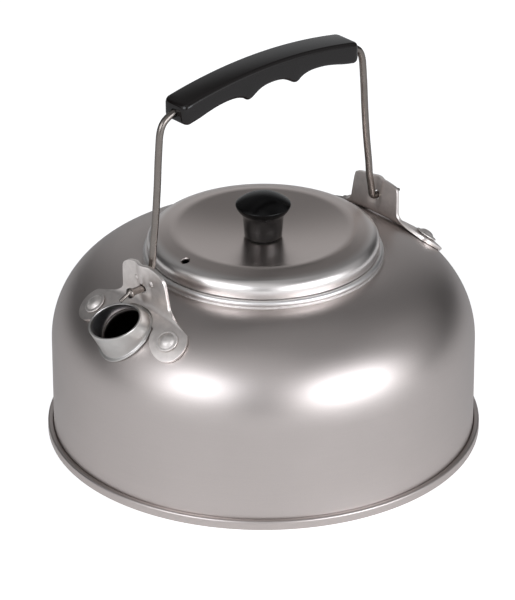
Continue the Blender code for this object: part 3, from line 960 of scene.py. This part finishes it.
@dataclass
class Rivets:
    """The four rivets, each along the dome's normal through an ear and the shell."""

    dome: Dome = field(default_factory=Dome)
    x: float = 70.5
    y: float = 22.0
    bracket_sheet: float = 1.4
    shell_sheet: float = 1.0
    shank_r: float = 2.4
    hole_r: float = 2.75
    head_rise: float = 1.9
    flange_r: float = 4.7
    tail_rise: float = 1.2
    steps: int = 48
    finish: Finish = ScuffedSheet("rivet_metal", (0.74, 0.695, 0.665), 0.52, 1.6, 0.03)

    def seat(self, side: Side, hand: Hand) -> Matrix:
        """The frame of one rivet on the dome, with Z outwards."""
        x, y = side.value * self.x, hand.value * self.y
        return stand_on(self.dome.over(x, y, 0.0), self.dome.normal(x, y))

    def outline(self) -> Outline:
        """Section of a rivet: low dome in a flange outside, shank, and upset tail inside.

        Returns:
            The open section; both its ends lie on the axis.
        """
        top = GAP + self.bracket_sheet + GAP
        tail = -self.shell_sheet - 0.2 - GAP
        head = [
            (0.9, 1.88), (1.8, 1.7), (2.6, 1.28), (3.2, 0.78), (3.55, 0.55), (3.9, 0.56),
            (self.flange_r - 0.35, 0.5),
        ]
        outline = Outline(0.0, top + self.head_rise).through([(r, top + z) for r, z in head])
        outline.arc((self.flange_r - 0.35, top + 0.15), -70.0, 4)
        outline.line((self.flange_r, top), (self.shank_r, top), (self.shank_r, tail), (3.5, tail))
        end = tail - self.tail_rise
        outline.through([(3.75, tail - 0.35), (3.2, tail - 0.95), (2.0, end)])
        return outline.line((0.0, end))

    def build(self) -> None:
        """Makes and dresses all four."""
        for side in Side:
            for hand in Hand:
                bm = self.outline().turn(self.steps)
                bmesh.ops.transform(bm, matrix=self.seat(side, hand), verts=bm.verts)
                ends = f"{side.name.lower()}_rivet_{hand.name.lower()}"
                hand_over(as_piece(f"flanged_{ends}", bm), ends, Body.KETTLE, self.finish)


@dataclass
class EarBracket:
    """A stamped ear: leaning tab with the wire's groove, bend, and a flange with two rivet lobes."""

    side: Side
    dome: Dome = field(default_factory=Dome)
    rivets: Rivets = field(default_factory=Rivets)
    sheet: float = 1.4
    fold_x: float = 62.0
    fold_z: float = 78.5
    lean: float = 6.0
    tab_top: float = 92.3
    tab_half: float = 12.8
    tab_flare: float = 0.1
    tab_drop: float = 9.5
    corner: float = 1.4
    corner_depth: float = 3.0
    front_crest: Point = (4.0, 3.2)
    rear_crest: Point = (1.5, 3.0)
    crest_depth: float = 7.0
    fold_rise: float = 0.7
    foot_spread: float = 2.2
    groove_deep: float = 1.3
    groove_half: float = 4.4
    dimple_y: float = 4.3
    dimple_z: float = 88.8
    dimple_r: float = 1.15
    dimple_rise: float = 0.5
    ear_x: float = 69.6
    ear_y: float = 21.6
    ear_rx: float = 6.6
    ear_ry: float = 8.7
    cut_x: float = 74.5
    cut_rx: float = 9.9
    cut_ry: float = 13.3
    wire_hole_r: float = 2.0
    edge_round: float = 0.18
    columns: int = 28
    column_ease: float = 1.25
    tab_rows: int = 18
    bend_rows: int = 12
    ear_rows: int = 24
    ear_ease: float = 1.25
    finish: Finish = ScuffedSheet("pressed_ear", (0.86, 0.8, 0.765), 0.42, 2.6, 0.04)

    def tab(self, share: float, drop: float) -> Vector:
        """A point of the tab's inner face.

        Args:
            share: How far across the half width it is, from 0 to 1.
            drop: How far below the top edge.

        Returns:
            The point.
        """
        y = (self.tab_half + self.tab_flare * drop) * share
        crest, power = self.front_crest if self.side is Side.FRONT else self.rear_crest
        arch = crest * max(0.0, 1.0 - (y / self.tab_half) ** power)
        past = min(max(y - self.tab_half + self.corner, 0.0), self.corner)
        rounding = self.corner - math.sqrt(self.corner**2 - past**2)
        z = self.tab_top - drop + arch * max(0.0, 1.0 - drop / self.crest_depth)
        z -= rounding * max(0.0, 1.0 - drop / self.corner_depth)
        groove = self.groove_deep * (0.5 + 0.5 * math.cos(math.pi * min(y / self.groove_half, 1.0)))
        x = self.fold_x + (z - self.fold_z) * math.tan(math.radians(self.lean)) + groove
        return Vector((x, y, z))

    def ear(self, share: float, x: float) -> Vector:
        """A point of the flange's lower face.

        Args:
            share: How far across the flange it is there, from 0 to 1.
            x: Its distance from the kettle's middle.

        Returns:
            The point.
        """
        lobe = self.ear_ry * math.sqrt(1.0 - ((x - self.ear_x) / self.ear_rx) ** 2)
        inner = 0.0
        if x > self.cut_x - self.cut_rx:
            inner = self.cut_ry * math.sqrt(1.0 - (min(x - self.cut_x, 0.0) / self.cut_rx) ** 2)
        if x > self.ear_x:
            inner = max(inner, self.ear_y - lobe)
        return self.dome.over(x, inner + (self.ear_y + lobe - inner) * share, GAP)

    def rise(self, point: Vector) -> float:
        """How far a point lies straight above the dome."""
        return point.z - self.dome.height(math.hypot(point.x, point.y))

    def bend(self, share: float, t: float, ear_start: float) -> Vector:
        """A point of the bend between the tab's foot and the flange's first row.

        Args:
            share: How far across the half sheet it is, from 0 to 1.
            t: How far along the bend, from 0 at the tab to 1 at the flange.
            ear_start: Where the flange starts, from the kettle's middle.

        Returns:
            The point.
        """
        high, low = self.tab(share, self.tab_drop), self.ear(share, ear_start)
        weights = ((1 - t) ** 2, 2 * t * (1 - t), t * t)
        x = high.x * weights[0] + self.fold_x * weights[1] + low.x * weights[2]
        y = high.y + (low.y - high.y) * t**self.foot_spread
        rises = (self.rise(high), self.fold_rise, self.rise(low))
        height = self.dome.height(math.hypot(x, y))
        return Vector((x, y, height + sum(weight * rise for weight, rise in zip(weights, rises))))

    def rows(self) -> list[Callable[[float], Vector]]:
        """The rows of the half sheet from the tab's top edge to the ear's far edge.

        Returns:
            For each row a function from the share across it, from 0 to 1, to the point.
        """
        ear_start, ear_end = self.cut_x - self.cut_rx, self.ear_x + self.ear_rx - 0.04
        drops = [self.tab_drop * i / self.tab_rows for i in range(self.tab_rows + 1)]
        bends = [i / self.bend_rows for i in range(1, self.bend_rows)]
        reach = ear_end - ear_start
        ears = [
            ear_start + reach * math.sin(math.pi / 2 * i / self.ear_rows) ** self.ear_ease
            for i in range(self.ear_rows + 1)
        ]
        rows = [lambda share, drop=drop: self.tab(share, drop) for drop in drops]
        rows += [lambda share, t=t: self.bend(share, t, ear_start) for t in bends]
        return rows + [lambda share, x=x: self.ear(share, x) for x in ears]

    def half_sheet(self) -> bmesh.types.BMesh:
        """Half of the bracket's inner face, from a flat grid laid over the rows.

        Returns:
            The open sheet, in its place; "wear" on its vertices is 1 at its edges.
        """
        rows = self.rows()
        bm = bmesh.new()
        bmesh.ops.create_grid(bm, x_segments=self.columns, y_segments=len(rows) - 1, size=0.5)
        wear = bm.verts.layers.float.new("wear")
        for vert in bm.verts:
            across, row = vert.co.x + 0.5, round((vert.co.y + 0.5) * (len(rows) - 1))
            share = 1.0 - max(0.0, 1.0 - across) ** self.column_ease
            place = rows[row](share)
            vert[wear] = 1.0 if row in (0, len(rows) - 1) or share > 0.99 else 0.0
            if share < 0.01 and place.y > 0.1:
                vert[wear] = 1.0
            vert.co = (self.side.value * place.x, place.y, place.z)
        if self.side is Side.FRONT:
            self.press_dimple(bm)
        return bm

    def press_dimple(self, bm: bmesh.types.BMesh) -> None:
        """Presses the small dimple beside the wire's hole outwards.

        Args:
            bm: The half sheet.
        """
        lean = math.radians(self.lean)
        x = self.side.value * (self.fold_x + (self.dimple_z - self.fold_z) * math.tan(lean))
        centre = Vector((x, self.dimple_y, self.dimple_z))
        out = Vector((self.side.value * math.cos(lean), 0.0, -math.sin(lean)))
        near = [edge for edge in bm.edges
                if all((vert.co - centre).length < self.dimple_r * 1.6 for vert in edge.verts)]
        bmesh.ops.subdivide_edges(bm, edges=near, cuts=3, use_grid_fill=True)
        for vert in bm.verts:
            apart = (vert.co - centre).length / self.dimple_r
            if apart < 1.0:
                vert.co += out * self.dimple_rise * (1.0 - apart**2) ** 2

    def build(self) -> None:
        """Makes and dresses the bracket."""
        bm = self.half_sheet()
        bmesh.ops.mirror(bm, geom=[*bm.verts, *bm.edges, *bm.faces], axis="Y", merge_dist=WELD)
        weld(bm)
        bm.faces.ensure_lookup_table()
        tab_face = max(bm.faces, key=lambda face: face.calc_center_median().z)
        if tab_face.normal.x * self.side.value < 0:
            bmesh.ops.reverse_faces(bm, faces=bm.faces)
        node = f"{self.side.name.lower()}_bracket"
        bracket = as_piece(f"stamped_{node}", bm)
        thick = bracket.modifiers.new("sheet", "SOLIDIFY")
        thick.thickness, thick.offset, thick.use_even_offset = self.sheet * MM, 1.0, True
        edge = bracket.modifiers.new("edge", "BEVEL")
        edge.width, edge.segments, edge.limit_method = self.edge_round * MM, 2, "ANGLE"
        edge.angle_limit = math.radians(50)
        hinge = Vector((self.side.value * (self.fold_x + 1.5), 0.0, HINGE_Z))
        cut(bracket, drill(self.wire_hole_r, 10.0, 0.0, stand_on(hinge, Vector((1.0, 0.0, 0.0)))))
        for hand in Hand:
            cut(bracket, drill(self.rivets.hole_r, 9.0, 0.0, self.rivets.seat(self.side, hand)))
        settle(bracket, 40.0)
        hand_over(bracket, node, Body.KETTLE, self.finish)


@dataclass
class Lid:
    """The dished lid with its skirt and steam vent, and the knob screwed on it."""

    sheet: float = 1.0
    dish_z: float = 87.2
    crest_r: float = 36.8
    crest_z: float = 91.7
    crest_back: float = 2.15
    crest_drop: float = 9.28
    crest_turn: float = 28.4
    band_slope: float = 15.0
    round_r: float = 4.6
    lid_r: float = 48.0
    round_z: float = 85.2
    seat_z: float = 82.5
    skirt_r: float = 46.1
    skirt_sheet: float = 0.8
    skirt_z: float = 72.0
    vent_r: float = 1.75
    vent_at: float = 42.4
    knob_z: float = 87.7
    cap_arc: float = 16.4
    cap_r: float = 11.0
    cap_z: float = 102.4
    bore_r: float = 2.4
    screw_r: float = 2.0
    screw_top: float = 98.0
    head_r: float = 3.8
    head_t: float = 2.4
    slot_size: tuple[float, float, float] = (4.2, 0.9, 2.6)
    washer_r: float = 5.0
    washer_t: float = 1.0
    steps: int = 180
    # painted sheen: the lid's tint grows pale towards and over its rounded edge and skirt
    finish: Finish = SatinAluminium(
        "satin_lid", (0.7, 0.62, 0.585), 0.31,
        depth=0.007, painted_sheen_radii=(41.8, 45.8), painted_sheen_tint=(0.95, 0.9, 0.875),
    )
    knob_finish: Finish = GlossBlack("gloss_knob", (0.002, 0.0018, 0.0019), 0.24, 0.2, 99.3)
    screw_finish: Finish = PlatedSteel("plated_screw")

    def outline(self) -> Outline:
        """The lid's section, from the dish's middle over the edge and back underneath.

        Returns:
            The open section; both its ends lie on the axis.
        """
        depth = self.crest_z - self.dish_z
        dish_arc = (self.crest_r**2 + depth**2) / (2 * depth)
        spread = math.degrees(math.asin((self.crest_r - self.crest_back) / dish_arc))
        dish_centre = (0.0, self.dish_z + dish_arc)
        edge_r, edge_z = edge_centre = (self.lid_r - self.round_r, self.round_z)
        edge_turn = 90.0 - self.band_slope
        turn = math.radians(edge_turn)
        start_r = edge_r + self.round_r * math.cos(turn)
        start_z = edge_z + self.round_r * math.sin(turn)
        outline = Outline(0.0, self.dish_z).arc(dish_centre, spread, 22)
        outline.arc((self.crest_r - 0.05, self.crest_z - self.crest_drop), -self.crest_turn, 10)
        outline.line((start_r * 0.6 + self.crest_r * 0.4, start_z * 0.6 + self.crest_z * 0.4))
        outline.line((start_r, start_z)).arc(edge_centre, -edge_turn, 14)
        outline.line((self.lid_r, self.seat_z + 0.4))
        outline.arc((self.lid_r - 0.4, self.seat_z + 0.4), -90.0, 4)
        outline.line((self.skirt_r, self.seat_z), (self.skirt_r, self.skirt_z + 0.4))
        outline.arc((self.skirt_r - 0.4, self.skirt_z + 0.4), -180.0, 6)
        inner_r, ledge_z = self.lid_r - self.sheet, self.seat_z + self.sheet
        outline.line((self.skirt_r - self.skirt_sheet, ledge_z), (inner_r, ledge_z))
        outline.line((inner_r, edge_z)).arc(edge_centre, edge_turn, 8)
        outline.line((self.crest_r + 0.1, self.crest_z - self.sheet - 0.1))
        under = math.degrees(math.asin((self.crest_r - 0.4) / (dish_arc + self.sheet)))
        rise = (dish_arc + self.sheet) * (1 - math.cos(math.radians(under)))
        outline.line((self.crest_r - 0.4, self.dish_z - self.sheet + rise))
        return outline.arc(dish_centre, -under, 12)

    def shell(self) -> bpy.types.Object:
        """The lid's sheet, with the screw's hole and the steam vent.

        Returns:
            The piece.
        """
        lid = as_piece("dished_lid", self.outline().turn(self.steps), 30.0)
        screw = Matrix.Translation((0.0, 0.0, self.dish_z))
        cut(lid, drill(self.bore_r, 8.0, 0.0, screw))
        slope = math.radians(self.band_slope)
        start_z = self.crest_z - (self.vent_at - self.crest_r) * math.tan(slope)
        normal = Vector((-math.sin(slope), 0.0, math.cos(slope)))
        place = Vector((-self.vent_at, 0.0, start_z)) - normal * 1.25
        cut(lid, drill(self.vent_r, 6.0, 0.3, stand_on(place, normal), 48))
        settle(lid, 30.0)
        return lid

    def knob(self) -> bpy.types.Object:
        """The moulded knob: waisted stem under a domed cap, with a blind bore for the screw.

        Returns:
            The piece.
        """
        spread = math.asin(self.cap_r / self.cap_arc)
        centre = (0.0, self.cap_z - self.cap_arc * math.cos(spread))
        outline = Outline(0.0, centre[1] + self.cap_arc).arc(centre, -math.degrees(spread), 20)
        flare = [(11.38, 101.9), (11.2, 101.1), (10.3, 99.6), (9.1, 98.0), (8.45, 96.4)]
        foot = [(7.6, self.knob_z + 0.15), (6.9, self.knob_z)]
        outline.through(flare, 5).line((8.15, 92.5), (7.85, self.knob_z + 0.6)).through(foot)
        bore_top = self.screw_top + 0.6
        outline.line((self.bore_r, self.knob_z), (self.bore_r, bore_top), (0.0, bore_top))
        return as_piece("domed_knob", outline.turn(128), 45.0)

    def screw(self) -> bpy.types.Object:
        """The pan head screw, with a cross recess in its head.

        Returns:
            The piece.
        """
        head_top = self.dish_z - self.sheet - GAP - self.washer_t - GAP
        bottom = head_top - self.head_t
        outline = Outline(0.0, self.screw_top)
        outline.line((self.screw_r - 0.5, self.screw_top), (self.screw_r, self.screw_top - 0.5))
        outline.line((self.screw_r, head_top), (self.head_r - 0.1, head_top))
        outline.line((self.head_r, head_top - 0.1))
        outline.through([(self.head_r, head_top - 0.9), (self.head_r - 0.4, bottom + 0.7),
                         (self.head_r - 1.5, bottom + 0.08), (self.head_r - 2.5, bottom)])
        screw = as_piece("pan_head_screw", outline.line((0.0, bottom)).turn(48))
        slot = Matrix.Diagonal((*self.slot_size, 1.0))
        for turn in (0.0, math.pi / 2):
            bm = bmesh.new()
            bmesh.ops.create_cube(bm, size=1.0)
            place = Matrix.Translation((0.0, 0.0, bottom)) @ Matrix.Rotation(turn, 4, "Z")
            bmesh.ops.transform(bm, matrix=place @ slot, verts=bm.verts)
            cut(screw, bm)
        settle(screw)
        return screw

    def washer(self) -> bpy.types.Object:
        """The flat washer between the screw's head and the lid.

        Returns:
            The piece.
        """
        top = self.dish_z - self.sheet - GAP
        bottom, edge, bore, rim = top - self.washer_t, 0.15, self.bore_r, self.washer_r
        outline = Outline(bore, bottom + edge).line((bore, top - edge), (bore + edge, top))
        outline.line((rim - edge, top), (rim, top - edge), (rim, bottom + edge))
        outline.line((rim - edge, bottom), (bore + edge, bottom))
        return as_piece("flat_washer", outline.close().turn(64))

    def build(self) -> None:
        """Makes and dresses the lid's four pieces."""
        hand_over(self.shell(), "lid", Body.LID, self.finish)
        hand_over(self.knob(), "lid_knob", Body.LID, self.knob_finish)
        hand_over(self.screw(), "knob_screw", Body.LID, self.screw_finish)
        hand_over(self.washer(), "knob_washer", Body.LID, self.screw_finish)


@dataclass
class Bail:
    """The wire handle with its crimped pegs, and the moulded grip on it."""

    wire_r: float = 1.5
    wire_x: float = 61.1
    bend_r: float = 2.15
    peg_end: float = 76.9
    stub_r: float = 0.75
    stub_drop: float = 2.0
    crimp_x: float = 72.3
    crimp_r: float = 2.15
    arc_end: float = 47.7
    arc_end_z: float = 157.6
    arc_top_z: float = 162.8
    grip_half: float = 47.4
    grip_wide: float = 13.8
    grip_top: float = 167.2
    grip_sag: float = 4.9
    grip_round: float = 1.9
    grip_end_r: float = 2.8
    grip_sides: int = 32
    wire_sides: int = 24
    wire_finish: Finish = DrawnWire("drawn_wire")
    grip_finish: Finish = GlossBlack("gloss_grip")

    @property
    def top_arc(self) -> Point:
        """Radius and centre height of the wire's arc inside the grip."""
        rise = self.arc_top_z - self.arc_end_z
        radius = (self.arc_end**2 + rise**2) / (2 * rise)
        return radius, self.arc_top_z - radius

    def arc_points(self, reach: float, steps: int) -> list[Vector]:
        """Points of that arc, from its right end up to the middle.

        Args:
            reach: How far to the right of the middle it starts.
            steps: How many steps it takes.

        Returns:
            The points.
        """
        radius, centre = self.top_arc
        spread = math.asin(reach / radius)
        angles = [math.pi / 2 - spread * (1 - i / steps) for i in range(steps + 1)]
        return [Vector((radius * math.cos(a), 0.0, centre + radius * math.sin(a))) for a in angles]

    def half_route(self) -> list[tuple[Vector, float]]:
        """One half of the wire's route, from its peg to the middle of the grip.

        Returns:
            The places that it passes, with the wire's radius at each.
        """
        flare, end, low = self.crimp_x, self.peg_end, HINGE_Z - self.stub_drop
        route = [(Vector((end, 0.0, low)), 0.6), (Vector((end - 0.15, 0.0, low + 0.1)), self.stub_r)]
        peg = [(flare + 0.5, self.stub_r), (flare + 0.2, 1.5), (flare - 0.1, self.crimp_r - 0.1),
               (flare - 0.4, self.crimp_r), (flare - 1.2, self.crimp_r - 0.05), (flare - 1.8, 1.75),
               (flare - 2.5, self.wire_r), (66.0, self.wire_r)]
        route += [(Vector((x, 0.0, HINGE_Z)), radius) for x, radius in peg]
        centre = Vector((self.wire_x + self.bend_r, 0.0, HINGE_Z + self.bend_r))
        for i in range(9):
            angle = -math.pi / 2 * (1 + i / 8)
            turn = Vector((math.cos(angle), 0.0, math.sin(angle))) * self.bend_r
            route.append((centre + turn, self.wire_r))
        side = [(60.4, 92.2), (59.7, 96.0), (59.1, 103.0), (57.7, 115.0), (56.6, 128.0), (56.0, 138.0),
                (55.3, 147.0), (54.9, 150.3), (54.1, 153.0), (52.6, 155.2), (50.3, 156.7)]
        arc = self.arc_points(self.arc_end, 6)
        bends = [route[-1][0]] + [Vector((x, 0.0, z)) for x, z in side] + arc[:1]
        route += [(place, self.wire_r) for place in smooth_line(bends, 6)[1:]]
        return route + [(place, self.wire_r) for place in self.arc_points(self.arc_end, 20)[1:]]

    def wire(self) -> bpy.types.Object:
        """The wire, from one peg over the grip to the other."""
        half = self.half_route()
        route = half + [(Vector((-place.x, 0.0, place.z)), radius) for place, radius in half[-2::-1]]
        return as_piece("bail_wire_drawn", sweep(route, self.wire_sides), 40.0)

    def grip_stations(self) -> list[Station]:
        """Places along the right half of the grip, from its middle to its end.

        Returns:
            For each its x, its lower and upper height, and how far the rounded end has drawn in.
        """
        under = [
            (0.0, 158.55), (2.6, 158.45), (5.7, 157.9), (8.6, 156.65), (11.0, 155.2),
            (12.2, 154.7), (13.2, 154.7), (14.0, 155.05), (15.7, 156.15), (18.8, 157.1),
            (22.8, 157.4), (28.5, 156.95), (34.0, 155.85), (39.5, 154.4),
            (self.grip_half - self.grip_end_r, 153.4),
        ]
        line = smooth_line([Vector((x, 0.0, z)) for x, z in under], 3)
        places = [(place.x, place.z, 0.0) for place in line]
        end_x, end_z, _ = places[-1]
        for i in range(1, 7):
            angle = math.pi / 2 * i / 6
            drawn = self.grip_end_r * (1.0 - math.cos(angle))
            places.append((end_x + self.grip_end_r * math.sin(angle), end_z, drawn))
        radius = (self.grip_half**2 + self.grip_sag**2) / (2 * self.grip_sag)
        stations = []
        for x, low, drawn in places:
            high = self.grip_top - radius + math.sqrt(radius**2 - x * x)
            stations.append((x, low + drawn * 0.7, high - drawn * 0.5, drawn))
        return stations

    def section(self, station: Station, unit: Vector) -> Vector:
        """A point of the grip's rounded section.

        Args:
            station: Where along the grip the section is, from grip_stations.
            unit: The point's place on a unit circle.

        Returns:
            The point.
        """
        x, low, high, drawn = station
        wide = self.grip_wide / 2 - drawn - self.grip_round
        tall = (high - low) / 2 - self.grip_round
        y = math.copysign(wide, unit.x) + self.grip_round * unit.x
        z = (low + high) / 2 + math.copysign(tall, unit.y) + self.grip_round * unit.y
        return Vector((x, y, z))

    def grip(self) -> bpy.types.Object:
        """The moulded grip: rounded sections joined from end to end, bored for the wire.

        Returns:
            The piece.
        """
        half = self.grip_stations()
        stations = [(-x, low, high, drawn) for x, low, high, drawn in half[:0:-1]] + half
        bm, loops = bmesh.new(), []
        for station in stations:
            place = partial(self.section, station)
            loops.append(add_ring(bm, self.grip_sides, place, math.pi / self.grip_sides)[1])
        for one, other in zip(loops, loops[1:]):
            bmesh.ops.bridge_loops(bm, edges=one + other)
        bmesh.ops.holes_fill(bm, edges=bm.edges, sides=0)
        grip = as_piece("scalloped_grip", weld(bm), 50.0)
        points = self.arc_points(self.grip_half + 4.0, 24)
        points += [Vector((-place.x, 0.0, place.z)) for place in points[-2::-1]]
        cut(grip, sweep([(place, self.wire_r + GAP) for place in points], self.wire_sides))
        settle(grip, 50.0)
        return grip

    def build(self) -> None:
        """Makes and dresses the wire and the grip."""
        hand_over(self.wire(), "bail_wire", Body.BAIL, self.wire_finish)
        hand_over(self.grip(), "grip", Body.BAIL, self.grip_finish)


@dataclass(frozen=True)
class Softbox:
    """A square studio lamp, placed by its direction from the kettle."""

    name: str
    azimuth: float
    elevation: float
    distance: float
    width: float
    height: float
    radiance: float


@dataclass(frozen=True)
class Card:
    """A pale stretch of the studio round the kettle, that fades out at an angle from its middle."""

    azimuth: float
    elevation: float
    reach: float
    level: float


@dataclass
class Studio:
    """Camera, floor, surround and lamps."""

    azimuth: float = -41.67
    elevation: float = 27.34
    roll: float = -0.14
    distance: float = 1.7409
    lens: float = 252.0
    target: Vector = field(default_factory=lambda: Vector((-1.785, 1.619, 57.64)) * MM)
    softboxes: tuple[Softbox, ...] = (
        Softbox("left_softbox", -35.5, 27.0, 1.1, 0.56, 0.46, 3.3),
        Softbox("right_softbox", 46.5, 19.5, 1.1, 0.74, 0.42, 4.1),
    )
    lamp_colour: Colour = (0.93, 0.98, 1.05)
    card_colour: Colour = (0.975, 0.99, 1.01)
    cards: tuple[Card, ...] = (
        Card(48.0, 5.0, 48.0, 1.4),
        Card(30.0, 30.0, 38.0, 0.35),
        Card(-35.0, 5.0, 38.0, 0.85),
        Card(-60.0, 30.0, 38.0, 0.75),
        Card(90.0, 30.0, 38.0, 0.3),
        Card(-20.0, 55.0, 38.0, 0.42),
        Card(176.0, 9.0, 34.0, 0.46),
        Card(-150.0, 30.0, 38.0, 0.12),
        Card(135.0, 55.0, 38.0, 0.17),
        Card(-135.0, 55.0, 38.0, 0.12),
        Card(0.0, 88.0, 38.0, 0.21),
    )
    floor_half: float = 4000.0
    floor_colour: Colour = (0.75, 0.75, 0.75)
    floor_glow: float = 0.74
    floor_level: float = 0.14
    floor_swing: float = 0.14
    floor_azimuth: float = 0.0

    def towards(self, azimuth: float, elevation: float) -> Vector:
        """A direction from the kettle, by degrees to the right of the camera and upwards."""
        a, e = math.radians(self.azimuth + azimuth), math.radians(elevation)
        return Vector((math.sin(a) * math.cos(e), -math.cos(a) * math.cos(e), math.sin(e)))

    def add_camera(self) -> None:
        """Places the camera as in the photograph."""
        data = bpy.data.cameras.new("camera")
        data.lens, data.sensor_width = self.lens, 36.0
        camera = bpy.data.objects.new("camera", data)
        bpy.context.scene.collection.objects.link(camera)
        back = self.towards(0.0, self.elevation)
        camera.location = self.target + back * self.distance
        look = (-back).to_track_quat("-Z", "Y").to_matrix().to_4x4()
        turn = look @ Matrix.Rotation(math.radians(self.roll), 4, "Z")
        camera.rotation_euler = turn.to_euler()
        bpy.context.scene.camera = camera

    def add_floor(self) -> None:
        """Lays the pale floor, which keeps the kettle's shadow.

        The camera sees it as white. The metal mirrors it darker, most of all behind the kettle.
        """
        bm = bmesh.new()
        bmesh.ops.create_grid(bm, x_segments=1, y_segments=1, size=self.floor_half)
        floor = as_piece("floor", bm)
        material = bpy.data.materials.new("floor")
        material.use_nodes = True
        graph = Graph(material.node_tree)
        graph.tree.nodes.clear()
        rays = graph.node("ShaderNodeLightPath").outputs
        camera, glossy = Signal(graph, rays["Is Camera Ray"]), Signal(graph, rays["Is Glossy Ray"])
        through = Signal(graph, rays["Is Transmission Ray"])
        x, y, _ = graph.split(graph.node("ShaderNodeTexCoord").outputs["Object"])
        brighter = self.towards(self.floor_azimuth, 0.0)
        swing = (x * brighter.x + y * brighter.y) / ((x * x + y * y) ** 0.5 + MM)
        mirrored = swing * self.floor_swing + self.floor_level
        diffuse = graph.node("ShaderNodeBsdfDiffuse", None, {"Color": (*self.floor_colour, 1.0)})
        strength = camera * self.floor_glow + (glossy + through) * mirrored
        glow = graph.node("ShaderNodeEmission", None, {"Strength": strength})
        both = graph.node("ShaderNodeAddShader", None, {0: diffuse.outputs[0], 1: glow.outputs[0]})
        graph.node("ShaderNodeOutputMaterial", None, {"Surface": both.outputs[0]})
        floor.data.materials.append(material)

    def add_world(self) -> None:
        """Surrounds the kettle: plain white to the camera, and the cards to the metal."""
        world = bpy.data.worlds.new("studio")
        world.use_nodes = True
        bpy.context.scene.world = world
        graph = Graph(world.node_tree)
        graph.tree.nodes.clear()
        direction = graph.node("ShaderNodeTexCoord").outputs["Generated"]
        x, y, z = graph.split(direction)
        level: Fed = 0.0
        for card in self.cards:
            way = self.towards(card.azimuth, card.elevation)
            along = x * way.x + y * way.y + z * way.z
            level = along.ease(math.cos(math.radians(card.reach)), 1.0) * card.level + level
        camera = graph.node("ShaderNodeLightPath").outputs["Is Camera Ray"]
        white = {"Color": (1.0, 1.0, 1.0, 1.0), "Strength": 1.0}
        seen = graph.node("ShaderNodeBackground", None, white)
        studio = {"Color": (*self.card_colour, 1.0), "Strength": level}
        lit = graph.node("ShaderNodeBackground", None, studio)
        inputs = {0: camera, 1: lit.outputs[0], 2: seen.outputs[0]}
        mixed = graph.node("ShaderNodeMixShader", None, inputs)
        graph.node("ShaderNodeOutputWorld", None, {"Surface": mixed.outputs[0]})

    def add_lamps(self) -> None:
        """Hangs the softboxes, which the camera itself doesn't see."""
        for box in self.softboxes:
            data = bpy.data.lights.new(box.name, "AREA")
            data.shape, data.size, data.size_y = "RECTANGLE", box.width, box.height
            data.energy = box.radiance * math.pi * box.width * box.height
            data.color = self.lamp_colour
            lamp = bpy.data.objects.new(box.name, data)
            bpy.context.scene.collection.objects.link(lamp)
            way = self.towards(box.azimuth, box.elevation)
            lamp.location = self.target + way * box.distance
            lamp.rotation_euler = way.to_track_quat("Z", "Y").to_euler()
            lamp.visible_camera = False

    def build(self) -> None:
        """Sets the studio up."""
        bpy.context.scene.view_settings.view_transform = "Standard"
        self.add_camera()
        self.add_floor()
        self.add_world()
        self.add_lamps()


def main() -> None:
    """Builds the studio and every piece of the kettle."""
    logging.basicConfig(level=logging.INFO, format="%(message)s", stream=sys.stdout)
    Studio().build()
    rivets = Rivets()
    Vessel().build(rivets)
    Spout().build()
    for side in Side:
        EarBracket(side).build()
    rivets.build()
    Lid().build()
    Bail().build()


if __name__ == "__main__":
    main()
